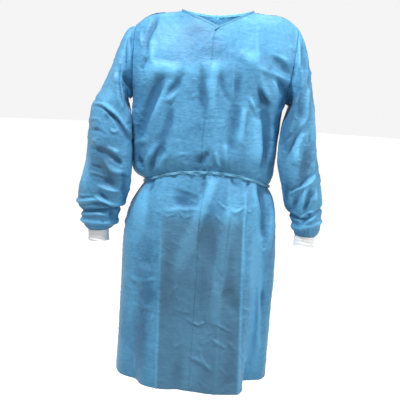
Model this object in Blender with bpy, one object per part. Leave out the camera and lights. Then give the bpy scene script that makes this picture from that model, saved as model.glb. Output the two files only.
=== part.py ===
"""Isolation gown, worn and filled out: hollow cloth walls, knitted cuffs, bound neck and waist tie.

Metres, +Z up, -Y is the side with the opening, +X is the viewer's right of that side. The origin
is the middle of the neck opening. The gown's outer surface is laid out first as one welded sheet,
pushed in and out along its normals by its folds, and then cut at the seams into its pieces. Each
piece gets its wall inwards and stops short of its seams.
"""
import math
from collections import namedtuple

import bmesh
import bpy
from mathutils import Vector

# Driving dimensions
WALL = 0.0014             # body and sleeve cloth
KNIT_WALL = 0.0020        # cuffs, between the ribs
SEAM_PULL = 0.00018       # each edge stops this far short of its seam
LAP_INSET = 0.0042        # the lower front edge lies this far under the upper one
LAP_EASE = 0.035          # beside the free edge, the lower panel eases out over this width
FREE_EDGE = -0.004        # the upper panel's free edge, beside the body's middle
CORNER_X = -0.009         # where the free edge meets the neck
LOWER_CORNER_RISE = 0.011 # the lower panel's neck edge passes this far above that corner
HEM_DIP = 0.012           # the hem hangs lower at the crease nearest the middle's right
HEM_DIP_X = 0.095
HEM_DIP_HALF = 0.11
HEM_DIP_FROM = -0.70      # the dip grows from here down
ARMPIT_HEIGHT = -0.250
NECK_HALF = 0.114         # from the middle of the neck to the shoulder seam
NECK_HEIGHT = 0.0245      # where the shoulder seam meets the neck
NECK_FALL = 0.455         # how steeply the neck edges fall to the opening
BACK_NECK_HEIGHT = 0.013
SHOULDER_HALF = 0.250     # from the middle to the armhole's top
SHOULDER_FALL = 0.36
SHOULDER_HUMP = 0.017     # how far the shoulder seam arches up between neck and armhole
SHOULDER_ROUND = 0.16     # height over which the body closes to the shoulder seam
SHOULDER_TILT = 0.045     # the viewer's right shoulder is carried higher
LEFT_TILT_SHARE = 0.25    # and the left one hardly lower than level
TILT_FROM = -0.35         # the tilt grows from here up
BINDING_HEIGHT = 0.007
BINDING_LEAN = 0.30
BINDING_PROUD = 0.0004
BELT_SIDE_HEIGHT = -0.505
BELT_RISE = 0.052         # how much higher the tie lies at the middle of the opening side
BELT_REACH = 0.13         # how far above and below the tie the cloth follows that rise
TIE_WIDTH = 0.0090
TIE_THICK = 0.0014
TIE_GAP = 0.0004
KNOT_GAP = 0.0003
GATHERS = 16              # around the waist
GATHER_DEPTH = 0.0045
GATHER_REACH_UP = 0.050
GATHER_REACH_DOWN = 0.075
TIE_CLEAR = 0.012         # no other fold crosses this band either side of the tie
TIE_CLEAR_EASE = 0.03
SIDE_CALM = 0.12          # folds fade over this share of the half width, to the side seams
SHOULDER_CALM = 0.03      # and over this height, to the shoulder seams
CUFF_LENGTH = 0.036
CUFF_RIBS = 36
RIB_HEIGHT = 0.0006
CUFF_GAP = 0.0003
CUFF_SHAPE = ((0.0, 0.0), (0.30, -0.0010), (0.70, -0.0008), (1.0, 0.0008))  # share of length, swell
KNOT_HALF = (0.015, 0.007, 0.011)
TAIL_IN = 0.003           # the free ends start this far below and in front of the knot's middle
TAIL_OFF = 0.004          # they lie this far off the plain side's cloth
TAIL_OUT = 0.0045         # and this much farther off it once they are out of the knot
TAIL_THICK = 0.0012

# Mesh fineness
QUARTER_COLUMNS = 16
LAP_COLUMNS = 3
YOKE_ROWS = 12
YOKE_CLOSENESS = 1.6      # yoke rows crowd towards the shoulder seam
NECK_CLOSENESS = 1.5      # and their ends towards its neck end
CORNER_ROW = 6            # the yoke row that ends at the neck's corner
WELD = 0.00005
SHELL_LIMIT = 1.6         # the most a sharp fold may stretch its wall's inward step
TAIL_STEPS = 8
BODY_ROWS = (-1.135, -1.075, -1.000, -0.920, -0.840, -0.760, -0.690, -0.635, -0.590, -0.560,
             -0.535, -0.5135, -0.505, -0.4965, -0.486, -0.465, -0.443, -0.421, -0.398, -0.374,
             -0.350, -0.326, -0.302, -0.276)

# The body's level sections: middle, half width, depth to the opening side and to the plain side,
# how far back the widest line lies, and how square the section is (2 is an ellipse)
Section = namedtuple("Section", "height middle half front back side square")
SECTIONS = (
    Section(-1.135, -0.0245, 0.2500, 0.168, 0.142, 0.036, 2.5),
    Section(-0.960, -0.0220, 0.2480, 0.160, 0.139, 0.027, 2.5),
    Section(-0.835, -0.0195, 0.2480, 0.154, 0.136, 0.020, 2.5),
    Section(-0.700, -0.0190, 0.2465, 0.148, 0.133, 0.012, 2.5),
    Section(-0.600, -0.0170, 0.2345, 0.141, 0.129, 0.005, 2.4),
    Section(-0.557, -0.0105, 0.2215, 0.134, 0.124, 0.002, 2.3),
    Section(-0.530, -0.0070, 0.2080, 0.127, 0.118, 0.000, 2.3),
    Section(-0.5135, -0.0070, 0.1960, 0.122, 0.114, 0.000, 2.3),
    Section(-0.505, -0.0070, 0.1960, 0.122, 0.114, 0.000, 2.3),
    Section(-0.4965, -0.0070, 0.1960, 0.122, 0.114, 0.000, 2.3),
    Section(-0.486, -0.0170, 0.2150, 0.129, 0.119, 0.000, 2.3),
    Section(-0.465, -0.0205, 0.2225, 0.134, 0.123, 0.000, 2.3),
    Section(-0.425, -0.0220, 0.2275, 0.139, 0.127, 0.000, 2.3),
    Section(-0.330, -0.0200, 0.2310, 0.134, 0.129, 0.000, 2.3),
    Section(-0.250, -0.0150, 0.2350, 0.132, 0.127, 0.000, 2.3),
    Section(-0.150, -0.0040, 0.2620, 0.133, 0.121, 0.000, 2.3),
    Section(-0.050, 0.0000, 0.2760, 0.110, 0.112, 0.000, 2.3),
    Section(0.080, 0.0000, 0.2800, 0.100, 0.105, 0.000, 2.3),
)

# Folds of the body, each a line on the front or plain side from one end to the other. Height is
# outward, start is the share of it at the first end, and a sharp fold is a pressed crease
Fold = namedtuple("Fold", "x0 z0 x1 z1 width height start sharp")
FRONT_FOLDS = (
    Fold(0.108, -0.57, 0.119, -1.20, 0.050, 0.0110, 0.5, True),
    Fold(0.184, -0.62, 0.184, -1.15, 0.050, -0.0600, 0.1, False),
    Fold(-0.214, -0.80, -0.220, -1.15, 0.045, -0.0280, 0.1, False),
    Fold(-0.132, -0.57, -0.140, -1.20, 0.055, 0.0070, 0.6, True),
    Fold(0.046, -0.57, 0.036, -1.20, 0.030, 0.0035, 1.0, True),
    Fold(0.012, -0.54, -0.087, -0.80, 0.042, 0.0070, 1.0, False),
    Fold(-0.040, -0.95, -0.020, -1.20, 0.060, -0.0050, 0.3, False),
    Fold(0.155, -0.53, 0.177, -0.67, 0.026, -0.0090, 1.0, False),
    Fold(-0.205, -0.620, -0.215, -0.840, 0.032, -0.0070, 1.0, False),
    Fold(0.112, -0.06, 0.120, -0.40, 0.030, 0.0030, 1.0, True),
    Fold(0.046, -0.16, 0.050, -0.36, 0.026, 0.0025, 1.0, True),
    Fold(0.232, -0.120, 0.160, -0.092, 0.024, 0.0060, 0.9, False),
    Fold(0.230, -0.148, 0.171, -0.112, 0.022, -0.0050, 0.9, False),
    Fold(0.232, -0.176, 0.160, -0.142, 0.024, 0.0070, 0.9, False),
    Fold(0.222, -0.211, 0.172, -0.166, 0.022, -0.0060, 0.9, False),
    Fold(0.180, -0.242, 0.128, -0.142, 0.024, 0.0070, 0.9, False),
    Fold(0.222, -0.235, 0.190, -0.285, 0.022, 0.0060, 1.0, False),
    Fold(0.137, -0.200, 0.168, -0.400, 0.028, -0.0090, 1.0, False),
    Fold(0.094, -0.250, 0.083, -0.375, 0.026, 0.0060, 1.0, False),
    Fold(0.066, -0.250, 0.057, -0.400, 0.028, -0.0060, 1.0, False),
    Fold(0.030, -0.330, 0.045, -0.440, 0.030, 0.0040, 1.0, False),
    Fold(-0.151, -0.165, -0.216, -0.350, 0.032, -0.0080, 0.9, False),
    Fold(-0.125, -0.178, -0.195, -0.365, 0.028, 0.0060, 0.9, False),
    Fold(-0.097, -0.158, -0.139, -0.240, 0.024, -0.0050, 0.9, False),
    Fold(-0.128, -0.270, -0.165, -0.385, 0.028, -0.0050, 1.0, False),
    Fold(-0.141, -0.385, -0.178, -0.475, 0.026, -0.0080, 1.0, False),
    Fold(-0.160, -0.375, -0.194, -0.475, 0.022, 0.0060, 1.0, False),
    Fold(-0.222, -0.430, -0.205, -0.470, 0.020, -0.0060, 1.0, False),
)
BACK_FOLDS = (
    Fold(-0.120, -0.57, -0.135, -1.20, 0.055, 0.0085, 0.5, True),
    Fold(0.100, -0.57, 0.112, -1.20, 0.055, 0.0090, 0.5, True),
    Fold(-0.175, -0.66, -0.180, -1.20, 0.050, -0.0200, 0.2, False),
    Fold(0.155, -0.70, 0.165, -1.20, 0.050, -0.0180, 0.2, False),
    Fold(-0.010, -0.57, 0.005, -1.20, 0.030, 0.0035, 1.0, True),
    Fold(0.060, -0.57, 0.030, -0.90, 0.040, 0.0060, 1.0, False),
    Fold(-0.060, -0.60, -0.050, -0.96, 0.040, -0.0060, 1.0, False),
    Fold(-0.200, -0.240, -0.105, -0.170, 0.026, 0.0060, 1.0, False),
    Fold(0.200, -0.235, 0.110, -0.180, 0.026, 0.0060, 1.0, False),
    Fold(-0.190, -0.290, -0.110, -0.270, 0.028, 0.0050, 1.0, False),
    Fold(0.185, -0.300, 0.120, -0.250, 0.028, 0.0050, 1.0, False),
    Fold(-0.090, -0.340, -0.080, -0.455, 0.032, 0.0060, 1.0, False),
    Fold(0.085, -0.360, 0.070, -0.455, 0.032, 0.0055, 1.0, False),
    Fold(0.000, -0.120, 0.004, -0.360, 0.030, 0.0025, 1.0, True),
    Fold(-0.170, -0.380, -0.140, -0.465, 0.028, 0.0060, 1.0, False),
    Fold(0.165, -0.390, 0.140, -0.465, 0.028, 0.0060, 1.0, False),
)

# A sleeve's rings from the shoulder to the wrist: the outer and inner ends of each ring as seen
# from the front, half its depth, how far the outer end is carried back, and how far in front of
# that the inner end lies, where the sleeve wraps the body's side
Ring = namedtuple("Ring", "outer_x outer_z inner_x inner_z depth back wrap")
RIGHT_RINGS = (
    Ring(0.265, -0.036, 0.2380, -0.248, 0.073, 0.000, 0.002),
    Ring(0.276, -0.067, 0.2370, -0.260, 0.078, 0.000, 0.020),
    Ring(0.286, -0.100, 0.2255, -0.279, 0.080, 0.002, 0.046),
    Ring(0.294, -0.135, 0.2135, -0.300, 0.080, 0.004, 0.062),
    Ring(0.303, -0.175, 0.2095, -0.325, 0.078, 0.006, 0.066),
    Ring(0.312, -0.220, 0.2060, -0.355, 0.074, 0.008, 0.074),
    Ring(0.322, -0.275, 0.2050, -0.385, 0.070, 0.008, 0.076),
    Ring(0.329, -0.330, 0.2045, -0.415, 0.068, 0.006, 0.074),
    Ring(0.335, -0.385, 0.2110, -0.445, 0.066, 0.002, 0.064),
    Ring(0.343, -0.440, 0.2205, -0.475, 0.064, -0.002, 0.050),
    Ring(0.354, -0.485, 0.2290, -0.505, 0.062, -0.006, 0.034),
    Ring(0.362, -0.525, 0.2345, -0.533, 0.058, -0.010, 0.024),
    Ring(0.362, -0.560, 0.2435, -0.560, 0.054, -0.014, 0.016),
    Ring(0.363, -0.590, 0.2570, -0.585, 0.050, -0.018, 0.010),
    Ring(0.363, -0.615, 0.2710, -0.610, 0.046, -0.020, 0.004),
    Ring(0.360, -0.640, 0.2765, -0.634, 0.041, -0.021, 0.000),
    Ring(0.348, -0.655, 0.2825, -0.650, 0.028, -0.021, 0.000),
)
LEFT_RINGS = (
    Ring(-0.269, -0.031, -0.2670, -0.248, 0.072, 0.000, 0.002),
    Ring(-0.286, -0.058, -0.2675, -0.260, 0.076, 0.000, 0.022),
    Ring(-0.301, -0.093, -0.2570, -0.279, 0.079, 0.002, 0.050),
    Ring(-0.314, -0.135, -0.2460, -0.300, 0.079, 0.004, 0.068),
    Ring(-0.334, -0.185, -0.2430, -0.325, 0.075, 0.006, 0.078),
    Ring(-0.355, -0.232, -0.2415, -0.355, 0.075, 0.008, 0.087),
    Ring(-0.374, -0.272, -0.2400, -0.385, 0.074, 0.008, 0.089),
    Ring(-0.386, -0.325, -0.2375, -0.415, 0.074, 0.006, 0.088),
    Ring(-0.387, -0.385, -0.2375, -0.445, 0.072, 0.002, 0.082),
    Ring(-0.390, -0.440, -0.2385, -0.475, 0.070, -0.002, 0.068),
    Ring(-0.399, -0.490, -0.2405, -0.505, 0.068, -0.006, 0.050),
    Ring(-0.409, -0.528, -0.2455, -0.533, 0.065, -0.010, 0.036),
    Ring(-0.415, -0.560, -0.2540, -0.560, 0.061, -0.014, 0.022),
    Ring(-0.410, -0.593, -0.2660, -0.587, 0.056, -0.018, 0.012),
    Ring(-0.397, -0.622, -0.2790, -0.612, 0.050, -0.020, 0.005),
    Ring(-0.393, -0.652, -0.2860, -0.646, 0.043, -0.021, 0.000),
    Ring(-0.376, -0.668, -0.3095, -0.664, 0.028, -0.021, 0.000),
)

# Folds of a sleeve: from one ring and turn to another. A turn of 0 is the outer line, 90 faces the
# opening side, 180 is the inner line, 270 the plain side
SleeveFold = namedtuple("SleeveFold", "ring0 turn0 ring1 turn1 width height")
LEFT_SLEEVE_FOLDS = (
    SleeveFold(7.0, 10, 7.6, 60, 0.020, 0.0090),
    SleeveFold(7.6, 60, 10.0, 125, 0.022, 0.0100),
    SleeveFold(4.5, 130, 7.0, 80, 0.024, -0.0060),
    SleeveFold(9.0, 30, 9.8, 110, 0.020, 0.0060),
    SleeveFold(10.6, 20, 11.0, 120, 0.018, -0.0055),
    SleeveFold(11.8, 10, 12.2, 140, 0.018, 0.0060),
    SleeveFold(12.8, 15, 13.4, 130, 0.016, -0.0060),
    SleeveFold(3.0, 60, 5.5, 100, 0.026, 0.0050),
    SleeveFold(7.5, 300, 9.0, 220, 0.024, 0.0080),
    SleeveFold(5.0, 290, 7.0, 250, 0.026, -0.0055),
    SleeveFold(10.5, 340, 11.2, 230, 0.020, 0.0060),
    SleeveFold(12.3, 345, 12.8, 220, 0.018, -0.0055),
)
RIGHT_SLEEVE_FOLDS = (
    SleeveFold(3.0, 70, 8.0, 40, 0.024, 0.0070),
    SleeveFold(8.0, 40, 10.5, 130, 0.024, 0.0085),
    SleeveFold(4.5, 120, 7.5, 95, 0.024, -0.0060),
    SleeveFold(9.0, 25, 11.5, 60, 0.020, -0.0050),
    SleeveFold(11.2, 10, 12.8, 130, 0.018, 0.0085),
    SleeveFold(12.4, 20, 14.4, 120, 0.018, -0.0065),
    SleeveFold(12.8, 5, 14.6, 95, 0.016, 0.0055),
    SleeveFold(7.0, 300, 8.6, 225, 0.024, 0.0080),
    SleeveFold(4.5, 290, 6.5, 250, 0.026, -0.0055),
    SleeveFold(10.3, 340, 11.2, 230, 0.020, 0.0060),
    SleeveFold(12.0, 345, 12.6, 220, 0.018, -0.0055),
)
SLEEVE_TURN_LENGTH = 0.42      # around the sleeve, for measuring its folds
SLEEVE_RING_LENGTH = 0.037     # from ring to ring, for measuring its folds
SLEEVE_FOLD_END = 16.5         # no fold passes this ring
SLEEVE_FOLD_EASE = 1.5
WRIST_GATHERS = 9
WRIST_GATHER_DEPTH = 0.0022
WRIST_GATHER_RINGS = (13.2, 15.5, 16.9)

# The tie's free ends behind: their way across at the knot, halfway and at the end, and their length
Tail = namedtuple("Tail", "x_start x_middle x_end length")
TAILS = (
    Tail(-0.006, -0.026, -0.034, 0.165),
    Tail(0.006, 0.020, 0.030, 0.205),
)

Finish = namedtuple("Finish", "colour roughness")
NON_WOVEN = Finish((0.155, 0.420, 0.640), 0.62)
BINDING = Finish((0.130, 0.360, 0.580), 0.60)
TIE = Finish((0.260, 0.560, 0.760), 0.60)
KNIT = Finish((0.800, 0.800, 0.840), 0.85)

PIECES = ("front_left", "front_right", "back", "sleeve_left", "sleeve_right", "neck_binding")


def clear_scene():
    for item in list(bpy.data.objects):
        bpy.data.objects.remove(item, do_unlink=True)


def smooth_step(value):
    value = min(1.0, max(0.0, value))
    return value * value * (3.0 - 2.0 * value)


def section_at(height):
    """The body's section at a height, on a smooth curve through the table's rows."""
    rows = SECTIONS
    if height <= rows[0].height:
        return rows[0]
    last = len(rows) - 1
    k = max(i for i in range(last) if rows[i].height <= height)
    before, low, high, after = rows[max(k - 1, 0)], rows[k], rows[k + 1], rows[min(k + 2, last)]
    span = high.height - low.height
    t = min(1.0, (height - low.height) / span)
    values = []
    for name in Section._fields[1:]:
        a, b, c, d = (getattr(row, name) for row in (before, low, high, after))
        slope_low = (c - a) / (high.height - before.height) * span
        slope_high = (d - b) / (after.height - low.height) * span
        values.append((2 * t**3 - 3 * t**2 + 1) * b + (t**3 - 2 * t**2 + t) * slope_low
                      + (3 * t**2 - 2 * t**3) * c + (t**3 - t**2) * slope_high)
    return Section(height, *values)


def shoulder_hump(x):
    beyond = max(0.0, abs(x) - NECK_HALF) / (SHOULDER_HALF - NECK_HALF)
    return SHOULDER_HUMP * math.sin(math.pi * min(1.0, beyond) ** 1.5)


def shoulder_line(x):
    """Height of the shoulder seam's line, before the tilt."""
    return NECK_HEIGHT + SHOULDER_FALL * (NECK_HALF - abs(x)) + shoulder_hump(x)


def form_point(x, height, front):
    """A point of the smooth body form, on the opening side (front) or the plain side."""
    section = section_at(height)
    across = min(1.0, abs(x - section.middle) / section.half)
    share = (1.0 - across**section.square) ** (1.0 / section.square)
    below = min(1.0, max(0.0, (shoulder_line(x) - height) / SHOULDER_ROUND))
    closing = math.sqrt(max(0.0, 1.0 - (1.0 - below) ** 2))
    depth = section.side + section.front if front else section.side - section.back
    y = section.side - depth * share * closing
    rise = BELT_RISE * share**2 if front else 0.0
    near_belt = math.exp(-((height - BELT_SIDE_HEIGHT) / BELT_REACH) ** 2)
    tilt = SHOULDER_TILT * smooth_step(1.0 - height / TILT_FROM) * x
    tilt *= 1.0 if x > 0.0 else LEFT_TILT_SHARE
    dip = 0.0
    if front:
        low = smooth_step((height - HEM_DIP_FROM) / (BODY_ROWS[0] - HEM_DIP_FROM))
        dip = HEM_DIP * low * share * math.exp(-((x - HEM_DIP_X) / HEM_DIP_HALF) ** 2)
    return Vector((x, y, height + rise * near_belt + tilt - dip))


def line_profile(fold_width, sharp, across, beyond):
    """How much of a fold's height is left beside its line and past its end."""
    reach = smooth_step(1.0 - beyond / (1.5 * fold_width))
    if across >= fold_width or reach <= 0.0:
        return 0.0
    if sharp:
        return (1.0 - across / fold_width) * reach
    return (0.5 + 0.5 * math.cos(math.pi * across / fold_width)) * reach


def line_distance(start, end, point):
    """Distance beside a line and past its ends, and the share of the line passed by then."""
    run = end - start
    along = (point - start).dot(run) / run.length
    across = abs((point - start).cross(run)) / run.length
    share = min(1.0, max(0.0, along / run.length))
    return across, max(-along, along - run.length, 0.0), share


def gather_lift(x, height, front):
    """The waist's gathers, pressed in under the tie and fading above and below it."""
    section = section_at(height)
    turn = math.asin(max(-1.0, min(1.0, (x - section.middle) / section.half)))
    turn = turn if front else math.pi - turn
    wave = math.cos(GATHERS * turn + 0.5 * math.sin(3 * turn + 1.0))
    depth = GATHER_DEPTH * (0.75 + 0.25 * math.sin(2 * turn + 0.6))
    away = height - BELT_SIDE_HEIGHT
    fade = math.exp(-(away / (GATHER_REACH_UP if away > 0 else GATHER_REACH_DOWN)) ** 2)
    return 0.5 * depth * (wave - 1.0) * fade


def body_lift(x, height, front):
    section = section_at(height)
    side_calm = smooth_step((1.0 - abs(x - section.middle) / section.half) / SIDE_CALM)
    shoulder_calm = smooth_step((shoulder_line(x) - height) / SHOULDER_CALM)
    tie_calm = smooth_step((abs(height - BELT_SIDE_HEIGHT) - TIE_CLEAR) / TIE_CLEAR_EASE)
    lift = 0.0
    for fold in FRONT_FOLDS if front else BACK_FOLDS:
        start, end = Vector((fold.x0, fold.z0)), Vector((fold.x1, fold.z1))
        across, beyond, share = line_distance(start, end, Vector((x, height)))
        grown = fold.start + (1.0 - fold.start) * share
        lift += fold.height * grown * line_profile(fold.width, fold.sharp, across, beyond)
    return lift * side_calm * shoulder_calm * tie_calm + gather_lift(x, height, front)


def sleeve_lift(folds, ring, turn):
    lift = 0.0
    scale = Vector((SLEEVE_TURN_LENGTH / 360.0, SLEEVE_RING_LENGTH))
    for fold in folds:
        start = Vector((fold.turn0, fold.ring0)) * scale
        end = Vector((fold.turn1, fold.ring1)) * scale
        across, beyond, _ = line_distance(start, end, Vector((turn, ring)) * scale)
        lift += fold.height * line_profile(fold.width, False, across, beyond)
    first, full, last = WRIST_GATHER_RINGS
    fade = smooth_step((ring - first) / (full - first)) * smooth_step((last - ring) / (last - full))
    wave = math.cos(WRIST_GATHERS * math.radians(turn) + 0.7 * math.sin(math.radians(2 * turn)))
    calm = smooth_step((SLEEVE_FOLD_END - ring) / SLEEVE_FOLD_EASE)
    return lift * calm + WRIST_GATHER_DEPTH * wave * fade


class Sheet:
    """The welded outer surface, with each vertex's lift and each face's piece."""

    def __init__(self):
        self.mesh = bmesh.new()
        self.lift = self.mesh.verts.layers.float.new("lift")
        self.piece = self.mesh.faces.layers.int.new("piece")

    def vertex(self, point, lift):
        new = self.mesh.verts.new(point)
        new[self.lift] = lift
        return new

    def quads(self, rows, piece, flip):
        for low, high in zip(rows, rows[1:]):
            for a, b, c, d in zip(low, low[1:], high[1:], high):
                face = self.mesh.faces.new((a, b, c, d) if not flip else (d, c, b, a))
                face[self.piece] = PIECES.index(piece)


def quarter_ends(side, front):
    """The inner and outer ends (x, height) of a quarter's rows, from the hem to the shoulder seam."""
    ends = []
    for height in BODY_ROWS:
        section = section_at(height)
        inner = section.middle + (FREE_EDGE if front else 0.0)
        ends.append(((inner, height), (section.middle + side * section.half, height)))
    armpit = section_at(ARMPIT_HEIGHT)
    start = armpit.middle + (FREE_EDGE if front else 0.0)
    corner = (0.0, BACK_NECK_HEIGHT)
    if front:
        corner_height = NECK_HEIGHT - NECK_FALL * (NECK_HALF - CORNER_X)
        corner = (CORNER_X, corner_height + (LOWER_CORNER_RISE if side < 0 else 0.0))
    tip = shoulder_line(SHOULDER_HALF)
    for row in range(YOKE_ROWS + 1):
        t = 1.0 - (1.0 - row / YOKE_ROWS) ** YOKE_CLOSENESS
        armhole = (side * SHOULDER_HALF * t + (armpit.middle + side * armpit.half) * (1.0 - t),
                   ARMPIT_HEIGHT + (tip - ARMPIT_HEIGHT) * t)
        if row <= CORNER_ROW:
            k = row / CORNER_ROW
            inner = (start + (corner[0] - start) * k,
                     ARMPIT_HEIGHT + (corner[1] - ARMPIT_HEIGHT) * k)
        else:
            k = 1.0 - ((YOKE_ROWS - row) / (YOKE_ROWS - CORNER_ROW)) ** NECK_CLOSENESS
            inner = (corner[0] + (side * NECK_HALF - corner[0]) * k,
                     corner[1] + (NECK_HEIGHT - corner[1]) * (k if front else k**2))
        ends.append((inner, armhole))
    return ends


def row_places(number, inner, outer):
    """Where a row's vertices stand: closer together towards the side seam, even in the yoke."""
    in_yoke = smooth_step((number - len(BODY_ROWS)) / YOKE_ROWS)
    places = []
    for column in range(QUARTER_COLUMNS + 1):
        k = column / QUARTER_COLUMNS
        k = math.sin(0.5 * math.pi * k) * (1.0 - in_yoke) + k * in_yoke
        x = inner[0] + (outer[0] - inner[0]) * k
        height = inner[1] + (outer[1] - inner[1]) * k
        places.append((x, height + shoulder_hump(x) * in_yoke**2))
    return places


def lap_inset(x, height):
    """How far the lower edge is moved in, under the upper one and just beside it."""
    beside = section_at(height).middle + FREE_EDGE - x
    return Vector((0.0, LAP_INSET * smooth_step(1.0 - (beside - LAP_EASE) / LAP_EASE), 0.0))


def quarter(sheet, side, front, piece):
    """One quarter of the body as rows of vertices, from the middle to the side seam or armhole."""
    rows = []
    for number, (inner, outer) in enumerate(quarter_ends(side, front)):
        row = []
        for x, height in row_places(number, inner, outer):
            point = form_point(x, height, front)
            if front and side < 0:
                point += lap_inset(x, height)
            row.append(sheet.vertex(point, body_lift(x, height, front)))
        rows.append(row)
    sheet.quads(rows, piece, flip=(side < 0) != (not front))
    return rows


def lap(sheet, rows, piece):
    """The lower edge, carried on under the upper one at the upper one's own places."""
    strip = []
    below_corner = quarter_ends(1, True)[:len(BODY_ROWS) + CORNER_ROW + 1]
    for number, (inner, outer) in enumerate(below_corner):
        rise = LOWER_CORNER_RISE * max(0, number - len(BODY_ROWS)) / CORNER_ROW
        row = [rows[number][0]]
        for column, (x, height) in enumerate(row_places(number, inner, outer)[1:LAP_COLUMNS + 1], 1):
            lift = body_lift(x, height, True)
            height += rise * (1.0 - column / LAP_COLUMNS)
            row.append(sheet.vertex(form_point(x, height, True) + lap_inset(x, height), lift))
        strip.append(row)
    sheet.quads(strip, piece, flip=False)
    return strip[-1][:0:-1]


def binding(sheet, rows, side, front, lapped=()):
    """The bound edge, standing on the neck edge of a quarter."""
    edge = list(lapped) + [row[0] for row in rows[len(BODY_ROWS) + CORNER_ROW:]]
    top = []
    for vertex in edge:
        inward = Vector((-vertex.co.x, -vertex.co.y, 0.0)).normalized()
        way = (BINDING_LEAN * inward + Vector((0.0, 0.0, 1.0))).normalized()
        top.append(sheet.vertex(vertex.co + BINDING_HEIGHT * way, vertex[sheet.lift]))
    sheet.quads([edge, top], "neck_binding", flip=(side < 0) != (not front))


def sleeve(sheet, front_rows, back_rows, rings, folds, piece):
    """A sleeve whose first ring is the armhole's own edge."""
    first = len(BODY_ROWS)
    front_edge = [rows[-1] for rows in front_rows[first:]]
    back_edge = [rows[-1] for rows in back_rows[first:]]
    loop = front_edge[::-1] + back_edge[1:-1]
    rows = [loop + loop[:1]]
    for number, ring in enumerate(rings, 1):
        outer = Vector((ring.outer_x, ring.back, ring.outer_z))
        inner = Vector((ring.inner_x, ring.back, ring.inner_z))
        row = []
        for column in range(len(loop)):
            turn = 360.0 * column / len(loop)
            angle = math.radians(turn)
            point = (outer + inner) / 2 + (outer - inner) / 2 * math.cos(angle)
            point.y -= ring.depth * math.sin(angle) + ring.wrap * (0.5 - 0.5 * math.cos(angle))
            row.append(sheet.vertex(point, sleeve_lift(folds, number, turn)))
        rows.append(row + row[:1])
    sheet.quads(rows, piece, flip=rings[0].outer_x < 0)


def build_sheet():
    sheet = Sheet()
    front_left = quarter(sheet, -1, True, "front_left")
    front_right = quarter(sheet, 1, True, "front_right")
    back_left = quarter(sheet, -1, False, "back")
    back_right = quarter(sheet, 1, False, "back")
    lapped = lap(sheet, front_left, "front_left")
    binding(sheet, front_left, -1, True, lapped)
    binding(sheet, front_right, 1, True)
    binding(sheet, back_left, -1, False)
    binding(sheet, back_right, 1, False)
    sleeve(sheet, front_left, back_left, LEFT_RINGS, LEFT_SLEEVE_FOLDS, "sleeve_left")
    sleeve(sheet, front_right, back_right, RIGHT_RINGS, RIGHT_SLEEVE_FOLDS, "sleeve_right")
    bmesh.ops.remove_doubles(sheet.mesh, verts=sheet.mesh.verts, dist=WELD)
    sheet.mesh.normal_update()
    moves = [(vertex, vertex.normal * vertex[sheet.lift]) for vertex in sheet.mesh.verts]
    for vertex, move in moves:
        vertex.co += move
    sheet.mesh.normal_update()
    return sheet


def into_piece(vertex, faces):
    """The direction from a seam's vertex into the piece, along its surface."""
    middle = Vector()
    for face in faces:
        middle += face.calc_center_median() / len(faces)
    way = middle - vertex.co
    seam = [edge for edge in vertex.link_edges if sum(f in faces for f in edge.link_faces) == 1]
    if len(seam) == 2:
        along = (seam[0].other_vert(vertex).co - seam[1].other_vert(vertex).co).normalized()
        way -= along * way.dot(along)
    return way.normalized()


def wall(sheet, piece, thickness, proud):
    """A piece of the sheet as a closed wall."""
    own = [face for face in sheet.mesh.faces if face[sheet.piece] == PIECES.index(piece)]
    own_set = set(own)
    solid = bmesh.new()
    outer, inner = {}, {}
    for face in own:
        for vertex in face.verts:
            if vertex in outer:
                continue
            faces = [f for f in vertex.link_faces if f in own_set]
            on_seam = any(sum(f in own_set for f in edge.link_faces) == 1 for edge in vertex.link_edges)
            pull = into_piece(vertex, faces) * SEAM_PULL if on_seam else Vector()
            even = min(vertex.calc_shell_factor(), SHELL_LIMIT)
            outer[vertex] = solid.verts.new(vertex.co + pull + vertex.normal * proud)
            inner[vertex] = solid.verts.new(vertex.co + pull - vertex.normal * thickness * even)
    for face in own:
        solid.faces.new([outer[v] for v in face.verts])
        solid.faces.new([inner[v] for v in reversed(face.verts)])
        for edge in face.edges:
            if sum(f in own_set for f in edge.link_faces) == 1:
                loop = next(l for l in edge.link_loops if l.face is face)
                a, b = loop.vert, loop.link_loop_next.vert
                solid.faces.new((outer[b], outer[a], inner[a], inner[b]))
    bmesh.ops.triangulate(solid, faces=solid.faces)
    return solid


def finish_object(name, solid, finish):
    mesh = bpy.data.meshes.new(name)
    solid.to_mesh(mesh)
    solid.free()
    material = bpy.data.materials.new(name + "_finish")
    material.use_nodes = True
    shader = material.node_tree.nodes["Principled BSDF"]
    shader.inputs["Base Color"].default_value = (*finish.colour, 1.0)
    shader.inputs["Roughness"].default_value = finish.roughness
    shader.inputs["Metallic"].default_value = 0.0
    mesh.materials.append(material)
    mesh.shade_smooth()
    made = bpy.data.objects.new(name, mesh)
    bpy.context.collection.objects.link(made)
    return made


def swept(rings, closed):
    """A solid through equal rings of points: a loop that meets itself, or a strip with flat ends."""
    solid = bmesh.new()
    stacks = [[solid.verts.new(point) for point in ring] for ring in rings]
    following = stacks[1:] + stacks[:1] if closed else stacks[1:]
    count = len(stacks[0])
    for low, high in zip(stacks, following):
        for i in range(count):
            j = (i + 1) % count
            solid.faces.new((low[i], low[j], high[j], high[i]))
    if not closed:
        solid.faces.new(stacks[0][::-1])
        solid.faces.new(stacks[-1])
    bmesh.ops.recalc_face_normals(solid, faces=solid.faces)
    bmesh.ops.triangulate(solid, faces=solid.faces)
    return solid


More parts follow.
